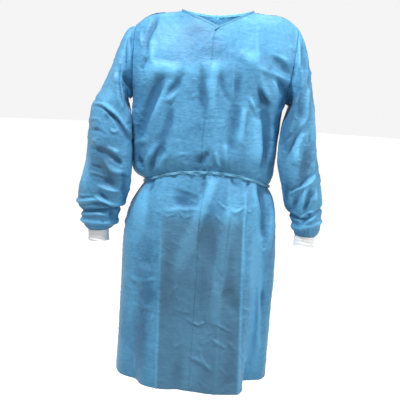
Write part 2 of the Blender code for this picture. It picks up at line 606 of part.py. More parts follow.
def cuff(name, ring):
    """A ribbed knit tube that hangs from the sleeve's last ring."""
    outer_end = Vector((ring.outer_x, ring.back, ring.outer_z))
    inner_end = Vector((ring.inner_x, ring.back, ring.inner_z))
    back = Vector((0.0, 1.0, 0.0))
    wide = (outer_end - inner_end) / 2
    down = wide.cross(back).normalized()
    down = -down if down.z > 0 else down
    profiles = []
    for column in range(2 * CUFF_RIBS):
        angle = math.pi * column / CUFF_RIBS
        way = wide.normalized() * math.cos(angle) - back * math.sin(angle)
        base = wide * math.cos(angle) - back * ring.depth * math.sin(angle)
        rib = 0.0 if column % 2 else RIB_HEIGHT
        outside, inside = [], []
        for share, swell in CUFF_SHAPE:
            level = inner_end + wide + down * (CUFF_GAP + CUFF_LENGTH * share) + base
            outside.append(level + way * (swell + rib - RIB_HEIGHT))
            inside.append(level + way * (swell - RIB_HEIGHT - KNIT_WALL))
        profiles.append(outside + inside[::-1])
    finish_object(name, swept(profiles, closed=True), KNIT)


def tie_frame(turn):
    """A point of the waist where the tie lies, and the way out of the cloth there."""
    section = section_at(BELT_SIDE_HEIGHT)
    points = []
    for step in (-0.01, 0.0, 0.01):
        front = math.cos(turn + step) >= 0.0
        x = section.middle + section.half * math.sin(turn + step)
        points.append(form_point(x, BELT_SIDE_HEIGHT, front))
    run = points[2] - points[0]
    return points[1], Vector((run.y, -run.x, 0.0)).normalized()


def waist_tie():
    """The flat tie, lying on the crests of the gathers all the way round."""
    count = 4 * QUARTER_COLUMNS
    half = Vector((0.0, 0.0, TIE_WIDTH / 2))
    rings = []
    for number in range(count):
        point, out = tie_frame(2.0 * math.pi * number / count)
        near = point + out * TIE_GAP
        far = near + out * TIE_THICK
        rings.append((near - half, far - half * 0.8, far + half * 0.8, near + half))
    finish_object("waist_tie", swept(rings, closed=True), TIE)


def tail(index, row, knot_point):
    """A flat free end that comes out of the knot and hangs down the plain side."""
    half = Vector((TIE_WIDTH / 2, 0.0, 0.0))
    thick = Vector((0.0, TAIL_THICK, 0.0))
    rings = []
    for step in range(TAIL_STEPS + 1):
        t = step / TAIL_STEPS
        across = (1 - t)**2 * row.x_start + 2 * t * (1 - t) * row.x_middle + t**2 * row.x_end
        x = knot_point.x + across
        height = knot_point.z - TAIL_IN - row.length * t
        cloth = form_point(x, min(height, BELT_SIDE_HEIGHT), False)
        y = max(cloth.y + TAIL_OFF, knot_point.y - TAIL_IN) + TAIL_OUT * smooth_step(t * 4)
        base = Vector((x, y, height))
        rings.append((base - half, base + half, base + half + thick, base - half + thick))
    return finish_object("tie_end_%d" % index, swept(rings, closed=False), TIE)


def tie_knot():
    """A plain knot behind, with its two free ends joined to it."""
    point, out = tie_frame(math.pi)
    centre = point + out * (TIE_GAP + TIE_THICK + KNOT_GAP + KNOT_HALF[1])
    solid = bmesh.new()
    bmesh.ops.create_uvsphere(solid, u_segments=14, v_segments=8, radius=1.0)
    for vertex in solid.verts:
        vertex.co = centre + Vector(k * c for k, c in zip(KNOT_HALF, vertex.co))
    knot = finish_object("tie_knot", solid, TIE)
    for index, row in enumerate(TAILS):
        end = tail(index, row, centre)
        end.hide_render = True
        end.display_type = "WIRE"
        join = knot.modifiers.new("end_%d" % index, "BOOLEAN")
        join.operation = "UNION"
        join.object = end


def main():
    clear_scene()
    sheet = build_sheet()
    for piece in PIECES:
        is_binding = piece == "neck_binding"
        finish = BINDING if is_binding else NON_WOVEN
        proud = BINDING_PROUD if is_binding else 0.0
        finish_object(piece, wall(sheet, piece, WALL, proud), finish)
    sheet.mesh.free()
    cuff("cuff_left", LEFT_RINGS[-1])
    cuff("cuff_right", RIGHT_RINGS[-1])
    waist_tie()
    tie_knot()


main()
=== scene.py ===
# %% [markdown]
# A disposable isolation gown of thin blue non-woven, filled out as if worn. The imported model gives
# every piece as a stiff wall of true shape. This lesson puts cloth on those walls: thin shells with
# pressed creases and crinkles, rib-knit cuffs, a bound neck, a tie, stitches, and their finishes.

# %% Load the frame
import math
import random
from collections import namedtuple
from contextlib import contextmanager

import bmesh
import bpy
import numpy as np
from mathutils import Matrix, Vector, noise
from mathutils.bvhtree import BVHTree
from mathutils.kdtree import KDTree


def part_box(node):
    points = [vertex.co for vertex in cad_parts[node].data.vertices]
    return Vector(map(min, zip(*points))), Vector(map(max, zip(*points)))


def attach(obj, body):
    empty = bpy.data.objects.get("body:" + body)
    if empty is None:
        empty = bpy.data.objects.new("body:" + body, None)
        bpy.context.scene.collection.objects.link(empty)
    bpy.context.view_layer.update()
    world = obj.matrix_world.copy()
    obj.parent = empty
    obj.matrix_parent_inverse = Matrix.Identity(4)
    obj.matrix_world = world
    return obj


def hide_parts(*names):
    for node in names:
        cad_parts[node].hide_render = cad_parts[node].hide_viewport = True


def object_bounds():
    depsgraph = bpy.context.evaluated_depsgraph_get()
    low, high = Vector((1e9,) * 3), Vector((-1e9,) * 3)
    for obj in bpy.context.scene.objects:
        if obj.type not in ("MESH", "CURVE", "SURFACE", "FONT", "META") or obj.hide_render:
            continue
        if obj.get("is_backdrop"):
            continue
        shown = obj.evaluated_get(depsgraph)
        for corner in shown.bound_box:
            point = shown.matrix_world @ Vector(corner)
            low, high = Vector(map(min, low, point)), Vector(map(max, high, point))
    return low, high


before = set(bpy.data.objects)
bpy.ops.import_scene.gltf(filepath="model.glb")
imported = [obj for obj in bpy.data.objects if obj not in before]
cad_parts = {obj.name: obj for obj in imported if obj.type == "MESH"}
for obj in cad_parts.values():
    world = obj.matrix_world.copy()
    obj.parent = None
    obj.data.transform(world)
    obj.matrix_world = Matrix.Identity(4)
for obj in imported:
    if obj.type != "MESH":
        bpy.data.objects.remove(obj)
cad_low, cad_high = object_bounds()
print("frame", [round(v, 3) for v in cad_high - cad_low], "m,", len(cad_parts), "nodes")

# %% [markdown]
# The photo was taken from chest height, a little to the left of the gown, with the camera tipped
# down and turned a few degrees, so the gown leans to the right in the picture.

# %% Camera
CAMERA_PLACE = (-0.0243, -2.4, -0.12)
CAMERA_PITCH = math.radians(10.4)
CAMERA_ROLL = math.radians(3.1)
FOCAL_PIXELS = 764.0
PHOTO_WIDTH = 400.0


def add_camera():
    lens = bpy.data.cameras.new("camera")
    lens.angle = 2.0 * math.atan(PHOTO_WIDTH / 2.0 / FOCAL_PIXELS)
    camera = bpy.data.objects.new("camera", lens)
    bpy.context.collection.objects.link(camera)
    tip = Matrix.Rotation(math.pi / 2 - CAMERA_PITCH, 4, "X")
    roll = Matrix.Rotation(CAMERA_ROLL, 4, "Z")
    camera.matrix_world = Matrix.Translation(CAMERA_PLACE) @ tip @ roll
    bpy.context.scene.camera = camera
    return camera


camera = add_camera()
print("camera angle", round(math.degrees(camera.data.angle), 1), "degrees")

# %% [markdown]
# Cloth starts from the outer side of its wall. A copy of the wall is merged, one face of the outer
# side is picked, and all faces that go on smoothly from it are kept. The rest, inner side and rim,
# is deleted, and a small hole left at a sharp fold is filled again. The triangles go back to quads,
# so that a subdivision surface can round them.

# %% Outer side of a wall
RIM_ANGLE = math.radians(50)
QUAD_BEND, QUAD_SKEW = math.radians(70), math.radians(85)
MERGE = 0.00002
SMALL_HOLE = 10           # edges round it
FACING_WEIGHT = 0.002     # the first face is the outermost one, if it faces outward


def select_only(piece):
    bpy.ops.object.select_all(action="DESELECT")
    piece.select_set(True)
    bpy.context.view_layer.objects.active = piece


@contextmanager
def all_in_edit_mode(piece):
    select_only(piece)
    bpy.ops.object.mode_set(mode="EDIT")
    bpy.ops.mesh.select_all(action="SELECT")
    yield
    bpy.ops.object.mode_set(mode="OBJECT")


def copy_wall(node, name):
    piece = bpy.data.objects.new(name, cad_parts[node].data.copy())
    bpy.context.collection.objects.link(piece)
    piece.data.materials.clear()
    with all_in_edit_mode(piece):
        bpy.ops.mesh.remove_doubles(threshold=MERGE)
        bpy.ops.mesh.select_all(action="DESELECT")
    return piece


def back_to_quads(piece):
    with all_in_edit_mode(piece):
        bpy.ops.mesh.tris_convert_to_quads(face_threshold=QUAD_BEND, shape_threshold=QUAD_SKEW)


def outer_side(node, name, towards):
    piece = copy_wall(node, name)
    way = Vector(towards)

    def outermost(face):
        return face.center.dot(way) + FACING_WEIGHT * face.normal.dot(way)

    max(piece.data.polygons, key=outermost).select = True
    bpy.ops.object.mode_set(mode="EDIT")
    bpy.ops.mesh.select_mode(type="FACE")
    bpy.ops.mesh.faces_select_linked_flat(sharpness=RIM_ANGLE)
    bpy.ops.mesh.select_all(action="INVERT")
    bpy.ops.mesh.delete(type="FACE")
    bpy.ops.mesh.select_all(action="SELECT")
    bpy.ops.mesh.fill_holes(sides=SMALL_HOLE)
    bpy.ops.object.mode_set(mode="OBJECT")
    back_to_quads(piece)
    return piece


# %% Rounding and refining
SPLIT_ROUNDS = 3


def apply_modifier(piece, modifier):
    select_only(piece)
    bpy.ops.object.modifier_apply(modifier=modifier.name)


def round_off(piece, levels):
    rounder = piece.modifiers.new("round", "SUBSURF")
    rounder.levels = levels
    rounder.render_levels = levels
    rounder.boundary_smooth = "PRESERVE_CORNERS"
    apply_modifier(piece, rounder)


def soften_corners(piece, width, segments):
    softener = piece.modifiers.new("soft corners", "BEVEL")
    softener.width = width
    softener.segments = segments
    softener.limit_method = "ANGLE"
    softener.angle_limit = RIM_ANGLE
    apply_modifier(piece, softener)


def split_long_edges(piece, longest):
    with all_in_edit_mode(piece):
        bpy.ops.mesh.select_mode(type="EDGE")
        for _ in range(SPLIT_ROUNDS):
            bpy.ops.mesh.select_all(action="DESELECT")
            mesh = bmesh.from_edit_mesh(piece.data)
            long_edges = [edge for edge in mesh.edges if edge.calc_length() > longest]
            for edge in long_edges:
                edge.select = True
            if not long_edges:
                break
            bmesh.update_edit_mesh(piece.data)
            bpy.ops.mesh.subdivide(number_cuts=1)


# %% [markdown]
# The large pieces are two panels that overlap, the plain side and the two sleeves. Their shells are
# cut so fine that a crease as narrow as 10 mm still has several faces across it.

# %% Shells of the body and sleeves
Shell = namedtuple("Shell", "towards face width length held")      # face: its longest edge
SHELLS = {
    "front_left": Shell((0.0, -1.0, 0.0), 0.0052, 0.37, 1.17, "hung"),
    "front_right": Shell((0.0, -1.0, 0.0), 0.0050, 0.33, 1.18, "hung"),
    "back": Shell((0.0, 1.0, 0.0), 0.0066, 0.60, 1.19, "hung"),
    "sleeve_left": Shell((-1.0, 0.0, 0.0), 0.0038, 0.40, 0.63, "hung"),
    "sleeve_right": Shell((1.0, 0.0, 0.0), 0.0038, 0.36, 0.61, "hung"),
}
shells = {}
for node, plan in SHELLS.items():
    shell = outer_side(node, "cloth_" + node, plan.towards)
    print(node, len(shell.data.polygons), "faces on the outer side of its wall")
    round_off(shell, 2)
    split_long_edges(shell, plan.face)
    print(shell.name, len(shell.data.polygons), "faces")
    shells[node] = shell

# %% [markdown]
# This cloth is pressed flat in its packet and keeps every crease. The main ones are listed, each a
# line on the gown as seen from the front, in millimetres: its way (x, height), its half width, and
# its height, outward or inward. Long pressed creases cross the hem, folds hang from the armholes and
# the tie, and short creases lie between them. Just above the cuffs the cloth folds in and puffs out
# all round the wrist.

# %% Creases of the opening side and the sleeves' front
Crease = namedtuple("Crease", "way width height")


def creases(rows):
    """From rows of a half width, a height, and then x and height of each spot on the way."""
    return tuple(Crease(tuple(zip(row[2::2], row[3::2])), row[0], row[1]) for row in rows)


LEFT_WRIST = (
    (12, -9, -455, -612, -400, -607, -338, -599, -285, -593, -252, -590),
    (12, 4.5, -455, -586, -400, -577, -338, -562, -285, -573, -250, -578),
    (12, 5, -440, -638, -338, -640, -250, -636),
)
RIGHT_WRIST = (
    (9, -7, 228, -565, 262, -583, 306, -592, 348, -567, 385, -550),
    (12, 4, 235, -612, 283, -625, 340, -610, 385, -600),
)
FRONT_CREASES = creases((
    # chest
    (36, 6, -210, -175, -172, -156, -95, -153), (36, 3, -95, -153, -33, -146, 45, -139),
    (28, -4.8, -151, -163, -169, -215, -198, -291, -218, -351),
    (20, 3.6, -128, -176, -149, -225, -175, -289, -208, -361),
    (18, -3.6, -97, -157, -110, -197, -139, -235), (12, 5, -104, -202, -120, -226, -144, -250),
    (22, -3, -126, -262, -132, -325, -171, -380), (14, 3, -233, -383, -204, -369, -190, -348),
    (14, -4.2, -222, -426, -212, -445, -203, -460), (18, -5.4, -141, -382, -172, -418, -179, -466),
    (14, 4.2, -156, -372, -190, -432, -194, -468), (12, 4, -131, -399, -146, -431, -157, -457),
    (20, -3, -41, -160, -29, -229, -22, -301), (22, 4, -3, -136, -5, -191, -3, -289),
    (18, -3, 65, -146, 67, -201, 65, -246), (18, 3.5, 94, -251, 86, -330, 83, -370),
    (26, -4.2, 68, -243, 61, -320, 57, -400), (10, 4, 107, -222, 117, -250, 132, -275),
    (8, 3, 131, -263, 150, -260), (12, 3.5, 132, -165, 146, -206, 172, -237),
    (22, -5.5, 137, -198, 162, -297, 168, -385, 157, -441),
    (22, 6, 140, -283, 145, -355, 145, -428), (14, 5, 184, -312, 186, -371, 177, -424),
    (10, 5, 14, -387, 21, -414, 29, -434), (14, 4, 46, -360, 46, -418),
    (20, -5, -6, -391, -25, -413, -44, -430), (5, 2, 89, -353, 105, -373),
    (8, 2, -111, -406, -57, -396), (6, 1.5, -57, -389, -35, -383), (7, 2, -68, -231, -41, -218),
    (7, 1.5, -66, -175, -48, -180),
    # right armhole
    (12, 4.2, 162, -92, 198, -105, 230, -120), (16, -4.2, 171, -104, 203, -131, 230, -151),
    (10, 4.8, 165, -146, 196, -158, 232, -173), (16, -5.4, 174, -162, 201, -187, 221, -211),
    (12, 3.5, 130, -143, 146, -186, 177, -238), (14, -7, 135, -197, 149, -226, 165, -252),
    (10, 4.2, 225, -220, 215, -245, 195, -271), (14, 4, 175, -141, 183, -198, 190, -249),
    (8, 2.5, 50, -126, 55, -178, 59, -243), (8, 2.5, 119, -13, 122, -71, 125, -128),
    (20, 4, -8, -135, -8, -171, -15, -233), (16, 2, 91, -249, 89, -350),
    (10, 4, 105, -219, 130, -269), (12, 4, 121, -133, 143, -140, 165, -151),
    (30, 4, 71, -89, 104, -111, 126, -127), (10, 3, 216, -65, 237, -80),
    (10, 2, 69, 25, 91, -1, 110, -8), (12, -2.5, -42, -136, -34, -177),
    (12, -3, 16, -144, 22, -195, 48, -243),
    # left shoulder
    (16, -5, -188, 7, -192, -28, -205, -58, -212, -103), (10, 3, -225, -49, -229, -62, -221, -93),
    (10, 4, -133, -249, -122, -229), (16, 4, -194, -68, -188, -126, -179, -145),
    (10, -5, -208, -122, -220, -162),
    # skirt below the tie
    (10, -5, -172, -495, -177, -512, -191, -536), (9, -6, 64, -455, 72, -479, 93, -492),
    (9, -6, 123, -468, 112, -508), (20, -7.2, 153, -482, 165, -546, 177, -666),
    (16, 6, 139, -473, 149, -528, 165, -596, 172, -680),
    (14, 5, 180, -490, 196, -536, 203, -595, 193, -721),
    (8, 3, 61, -455, 63, -559, 61, -625, 55, -760), (18, 5, 65, -559, 53, -672, 49, -794),
    (12, 5, 111, -479, 113, -559, 111, -631, 118, -793),
    (30, 6, 16, -465, -9, -542, -49, -664, -87, -771), (50, -5, -67, -512, -81, -564),
    (12, 3, -129, -579, -77, -567, -18, -565), (6, 2.5, -129, -594, -83, -577),
    (6, 2.5, -83, -577, -69, -595), (6, 2.5, -69, -595, -34, -577), (6, 2, -105, -665, -65, -683),
    (10, 2.5, -63, -719, -81, -754), (6, 2, -129, -724, -88, -738), (6, 2.5, 30, -538, 60, -563),
    (6, 2, 22, -577, 53, -606), (8, 4, 70, -559, 85, -569, 111, -552), (6, 3, 113, -554, 134, -573),
    (9, 3, -132, -597, -132, -650, -134, -714, -134, -806),
    (26, 4, -193, -519, -206, -584, -209, -651), (10, 3, -225, -793, -210, -807, -133, -783),
    (6, 3, 165, -675, 177, -694, 194, -686), (40, -4, 48, -746, 0, -661, 2, -578),
    (6, 2, -57, -460, -36, -472), (14, -3, -17, -464, -16, -539),
    # skirt down to the hem
    (8, 3, -136, -792, -135, -895, -129, -1180), (8, 3, 53, -780, 53, -866, 53, -987, 52, -1180),
    (16, 5, 38, -781, 38, -866, 38, -928), (12, 5, 114, -779, 118, -917, 121, -1022, 125, -1180),
    (6, 2.5, -85, -878, -35, -886), (7, 4, -47, -906, -6, -925), (7, 4, -6, -925, 8, -911),
    (8, 4, 36, -966, 61, -983, 78, -994), (10, 4, -38, -1025, 3, -1038, 37, -1067),
    (7, 4, 2, -1020, 21, -1047, 39, -1067), (7, 3, 47, -917, 89, -941),
    (6, 2.5, 62, -1057, 87, -1081), (6, 2, 3, -1105, 25, -1124), (7, 2.5, -225, -888, -156, -881),
    (6, 2.5, -148, -897, -157, -923), (8, 2, -227, -904, -228, -966),
    (8, 2.5, -203, -1040, -201, -1121), (7, 3, 125, -862, 139, -875, 166, -887),
    (7, 2.5, 130, -894, 169, -921), (8, 3, 139, -928, 154, -986), (7, 3, 123, -1005, 153, -1059),
    (14, 4, 174, -795, 181, -943, 183, -1033), (12, -4, 188, -818, 188, -892),
    (8, 2.5, -84, -788, -88, -812, -104, -834, -109, -868), (24, -3, -62, -1012, -70, -1180),
    (8, 3, 84, -973, 112, -1000), (30, -3, 68, -807, 112, -882),
    # left sleeve
    *LEFT_WRIST, (10, -9, -368, -278, -340, -276, -311, -290, -279, -320, -243, -375),
    (12, 5, -368, -274, -334, -271, -305, -283, -273, -314, -244, -352),
    (8, 3, -390, -323, -350, -313, -337, -323), (8, 5, -305, -338, -294, -345, -275, -341),
    (10, -3, -317, -293, -321, -318), (8, -5, -380, -352, -346, -346, -318, -358),
    (10, 6, -310, -395, -293, -400, -274, -410),
    (16, -8, -355, -406, -309, -418, -275, -436, -272, -452),
    (12, 6, -319, -434, -297, -457, -263, -473), (6, 3, -370, -478, -340, -481, -319, -485),
    (10, -4, -364, -457, -325, -463), (9, 6, -342, -518, -303, -526, -270, -531),
    (18, -5, -325, -502, -287, -504), (10, -5, -338, -535, -310, -562),
    (5, 3, -408, -558, -360, -550), (8, 6, -352, -550, -330, -559, -307, -571, -278, -580),
    (8, -5, -360, -574, -327, -575, -299, -585), (8, 5, -382, -615, -345, -608, -308, -613),
    (8, 3, -403, -592, -382, -621), (12, -5, -299, -585, -295, -632),
    (12, -6, -269, -475, -244, -491), (10, -4, -257, -495, -266, -545),
    (10, 2, -366, -385, -341, -369), (10, -6, -283, -138, -285, -180, -279, -228, -262, -266),
    (14, 4, -295, -156, -291, -205), (7, -6, -274, -170, -264, -205, -252, -220),
    (8, 5, -264, -212, -256, -252, -247, -297), (6, -4, -267, -68, -266, -106, -264, -155),
    (6, -3, -257, -63, -255, -95), (6, 3, -262, -71, -258, -145),
    (10, 3, -251, -85, -253, -154, -244, -178), (6, 2, -295, -268, -310, -287),
    # right sleeve
    *RIGHT_WRIST, (6, 5, 248, -44, 252, -137), (6, 3, 242, -3, 241, -116),
    (10, -6, 258, -49, 262, -128), (8, 4, 274, -83, 276, -167), (10, -5, 284, -114, 284, -194),
    (10, 6, 294, -127, 280, -234, 278, -282, 251, -344), (18, -4, 254, -182, 265, -260, 278, -284),
    (8, -6, 279, -293, 262, -323, 242, -369, 233, -396), (16, 5, 278, -323, 260, -369, 258, -422),
    (6, 4, 289, -294, 317, -289), (5, 3, 244, -272, 256, -283), (6, 2, 263, -335, 287, -325),
    (6, 3, 274, -358, 300, -361), (6, 3, 287, -323, 293, -352), (7, -3, 299, -329, 299, -355),
    (20, -5, 291, -370, 292, -427, 289, -472), (10, 4, 317, -372, 319, -442),
    (9, 9, 334, -446, 315, -468, 296, -481, 270, -495, 253, -513),
    (12, -6, 320, -448, 290, -475, 248, -506), (10, 7, 300, -485, 293, -517, 287, -574),
    (12, -7, 320, -495, 309, -532, 296, -564), (8, 5, 333, -490, 333, -546),
    (14, -5, 270, -519, 269, -573), (6, 5, 329, -565, 305, -573, 280, -601),
    (6, 5, 344, -576, 316, -598, 296, -625), (8, -6, 312, -581, 323, -575),
    (10, -3, 218, -357, 244, -321), (6, 2, 262, -401, 283, -405), (6, 2, 281, -448, 291, -451),
))
print(len(FRONT_CREASES), "creases in front")

# %% [markdown]
# The plain side isn't in the photo. It gets creases of the same kinds in places of its own.

# %% Creases of the plain side and the sleeves' back
BACK_CREASES = creases((
    # shoulders and armholes
    (14, 5, -205, -120, -160, -150, -110, -160), (16, -6, -212, -165, -170, -190, -125, -215),
    (12, 6, -215, -215, -180, -222, -140, -250), (20, -6, -150, -170, -165, -230, -190, -310),
    (16, 4, -128, -180, -140, -240, -150, -300), (14, 5, 200, -105, 160, -130, 118, -138),
    (16, -6, 212, -150, 175, -168, 120, -178), (12, 6, 205, -200, 170, -205, 128, -232),
    (22, -7, 150, -160, 170, -230, 176, -320), (16, 4, 120, -190, 132, -260, 130, -330),
    (26, 3.5, -70, -102, 0, -110, 60, -98),
    # middle, down to the tie
    (20, -4, -60, -150, -66, -230, -60, -320), (18, -3.5, 38, -140, 44, -220, 36, -330),
    (9, 3, 4, -110, 6, -230, 2, -360), (20, 6, -95, -300, -84, -380, -78, -450),
    (16, -5, -52, -330, -50, -400, -56, -455), (20, 6, 84, -320, 80, -400, 70, -455),
    (14, -5, 52, -350, 46, -410, 40, -456), (18, -7, -170, -330, -160, -400, -138, -460),
    (14, 5, -192, -360, -186, -420, -172, -462), (18, -7, 160, -340, 158, -410, 140, -462),
    (14, 5, 186, -360, 180, -420, 166, -462), (12, 4, -16, -395, -20, -425, -30, -455),
    (12, -4, 14, -380, 20, -420, 16, -456), (8, 2.5, -120, -280, -90, -292),
    (7, 2, 60, -262, 100, -275), (6, 2, -30, -250, 10, -262), (7, 2.5, 100, -300, 128, -286),
    (8, 3, -190, -250, -160, -262),
    # skirt
    (10, 4, -120, -560, -126, -720, -132, -930, -136, -1180),
    (12, 5, 100, -560, 105, -760, 110, -960, 114, -1180),
    (8, 3, -8, -560, -4, -760, 2, -960, 6, -1180), (20, -8, -150, -540, -168, -640, -176, -760),
    (14, 5, -132, -540, -150, -640, -160, -740), (20, -9, 150, -540, 164, -640, 170, -770),
    (14, 5, 134, -540, 146, -640, 152, -730), (26, 5, 64, -545, 60, -640, 40, -760, 10, -860),
    (24, -5, -62, -545, -66, -660, -54, -790), (26, -4, -92, -540, -98, -600),
    (22, 5, -200, -560, -212, -680, -214, -800), (20, 5, 196, -560, 206, -700, 206, -820),
    (7, 2.5, -120, -640, -86, -652), (8, 3, 60, -690, 84, -702, 100, -692),
    (7, 2.5, -60, -765, -20, -780), (7, 3, -126, -800, -90, -815, -66, -806),
    (7, 3, 40, -840, 78, -862), (8, 3, -30, -900, 10, -915, 30, -904),
    (8, 3, -110, -960, -70, -985), (8, 3.5, 20, -1000, 62, -1020, 84, -1008),
    (8, 3, -60, -1040, -20, -1062), (8, 3, 120, -880, 160, -900), (8, 3, 130, -1000, 156, -1050),
    (8, 3, -200, -880, -150, -892), (10, 3, -196, -1000, -188, -1100),
    (16, 4, 176, -860, 180, -980, 184, -1080), (24, -3, -40, -1080, -46, -1180),
    (24, -3, 60, -1060, 66, -1180),
    # left sleeve
    *LEFT_WRIST, (12, 5, -300, -130, -296, -200, -280, -260),
    (10, -5, -272, -100, -276, -170, -272, -230), (14, -4, -330, -200, -340, -260),
    (12, 7, -380, -290, -340, -300, -300, -330, -262, -372),
    (12, -6, -385, -320, -340, -330, -310, -350), (10, 5, -384, -360, -340, -380, -300, -385),
    (14, -7, -350, -400, -310, -430, -270, -446), (12, 6, -390, -430, -350, -442, -300, -470),
    (10, 5, -360, -480, -320, -490, -276, -500), (12, -5, -400, -500, -360, -515, -310, -512),
    (9, 5, -390, -548, -345, -540, -290, -552), (9, -5, -400, -575, -350, -570, -300, -590),
    (8, 4, -380, -605, -340, -600, -306, -615),
    # right sleeve
    *RIGHT_WRIST, (12, 5, 262, -110, 268, -190, 262, -250),
    (14, -5, 286, -130, 296, -220, 290, -290), (12, 7, 312, -240, 300, -300, 262, -350),
    (12, -6, 318, -290, 290, -330, 250, -380), (10, 5, 322, -340, 300, -370, 262, -400),
    (12, -6, 330, -400, 296, -420, 250, -436), (12, 7, 338, -436, 300, -460, 252, -480),
    (12, -6, 346, -480, 310, -490, 262, -510), (10, 5, 350, -525, 310, -530, 268, -545),
    (9, -5, 352, -560, 316, -570, 276, -580), (8, 4, 350, -590, 320, -600, 290, -612),
))
print(len(BACK_CREASES), "creases behind")

# %% [markdown]
# Between the folds, such cloth is covered with short crinkles that point every way. They are drawn
# from a seeded random source, so that each run gives the same gown.

# %% Small crinkles
Area = namedtuple("Area", "left right low high")
CRINKLED = (Area(-250, 220, -1160, -60), Area(-410, -250, -650, -90), Area(240, 360, -640, -90))
CRINKLE_LENGTHS = (14, 52)
CRINKLE_WIDTHS = (4.5, 8.5)
CRINKLE_HEIGHTS = (0.5, 1.5)
CRINKLE_BOW = 0.2
OUT_MORE_THAN_IN = (-1, 1, 1)


def crinkles(seed, numbers):
    """So many small creases in the body's area and in each sleeve's."""
    draw = random.Random(seed)
    rows = []
    for area, number in zip(CRINKLED, numbers):
        for _ in range(number):
            x, z = draw.uniform(area.left, area.right), draw.uniform(area.low, area.high)
            turn, length = draw.uniform(0.0, math.pi), draw.uniform(*CRINKLE_LENGTHS)
            dx, dz = 0.5 * length * math.cos(turn), 0.5 * length * math.sin(turn)
            bow = draw.uniform(-CRINKLE_BOW, CRINKLE_BOW)
            way = ((x - dx, z - dz), (x - bow * dz, z + bow * dx), (x + dx, z + dz))
            height = draw.choice(OUT_MORE_THAN_IN) * draw.uniform(*CRINKLE_HEIGHTS)
            rows.append(Crease(way, draw.uniform(*CRINKLE_WIDTHS), height))
    return tuple(rows)


FRONT_CRINKLES = crinkles(11, (230, 70, 70))
BACK_CRINKLES = crinkles(12, (200, 60, 60))
print(len(FRONT_CRINKLES) + len(BACK_CRINKLES), "crinkles")

# %% [markdown]
# A crease becomes a lift of every point near its line. The line is smoothed into a curve, the lift
# is highest on it, fades to both sides and to both ends, and its width swells and shrinks on the
# way, so that no two stretches are alike.

# %% Lift of a crease
MM = 0.001
PRESSED_WIDTH = 0.0095    # narrower creases come to a ridge, wider ones are round
NARROW, WIDE = 0.010, 0.018
NARROW_GAIN, WIDE_GAIN = 1.4, 2.0     # a wide crease is lifted more of the table's height
CURVE_STEPS = 6           # from one spot of the way to the next
WIDTH_SWELL = 0.18
HEIGHT_SWELL = 0.22
ENDS = (0.012, 0.988)     # shares of the length, so that the very ends keep a little height


def smooth_rows(rows):
    """A smooth curve through rows of numbers, with points between each row and the next."""
    table = np.array(rows)
    table = np.vstack((2 * table[0] - table[1], table, 2 * table[-1] - table[-2]))
    curve = []
    for a, b, c, d in zip(table, table[1:], table[2:], table[3:]):
        for step in range(CURVE_STEPS):
            t = step / CURVE_STEPS
            curve.append(0.5 * (2 * b + (c - a) * t + (2 * a - 5 * b + 4 * c - d) * t**2
                                + (3 * b - a - 3 * c + d) * t**3))
    curve.append(table[-2])
    return np.array(curve)


def nearest_on_curve(points, curve):
    """Distance from each point to the curve, and the share of the curve's length there."""
    steps = np.diff(curve, axis=0)
    lengths = np.linalg.norm(steps, axis=1)
    before = np.concatenate(([0.0], np.cumsum(lengths)))
    distance = np.full(len(points), np.inf)
    share = np.zeros(len(points))
    for start, step, length, run in zip(curve, steps, lengths, before):
        t = np.clip((points - start) @ step / length**2, 0.0, 1.0)
        gap = np.linalg.norm(points - start - t[:, None] * step, axis=1)
        closer = gap < distance
        distance = np.where(closer, gap, distance)
        share = np.where(closer, (run + t * length) / before[-1], share)
    return distance, share


def lift_of_creases(points, table):
    flat = points[:, [0, 2]]
    lift = np.zeros(len(points))
    for crease in table:
        curve = smooth_rows(crease.way) * MM
        width, height = crease.width * MM, crease.height * MM
        height *= float(np.interp(width, (NARROW, WIDE), (NARROW_GAIN, WIDE_GAIN)))
        reach = (1.0 + WIDTH_SWELL) * width
        low, high = curve.min(axis=0) - reach, curve.max(axis=0) + reach
        near = np.nonzero(np.all((flat > low) & (flat < high), axis=1))[0]
        if not len(near):
            continue
        distance, share = nearest_on_curve(flat[near], curve)
        phase = crease.way[0][0] * 0.7 + crease.way[0][1] * 0.3
        swell = 1.0 + WIDTH_SWELL * np.sin(5.0 * share + phase)
        inside = np.clip(1.0 - distance / (width * swell), 0.0, 1.0)
        round_top = inside**2 * (3.0 - 2.0 * inside)
        profile = inside**1.25 if width < PRESSED_WIDTH else round_top
        ends = np.sin(np.pi * np.clip(share, *ENDS)) ** 0.55
        uneven = 1.0 + HEIGHT_SWELL * np.sin(9.0 * share + 2.0 * phase)
        lift[near] += height * profile * ends * uneven
    return lift
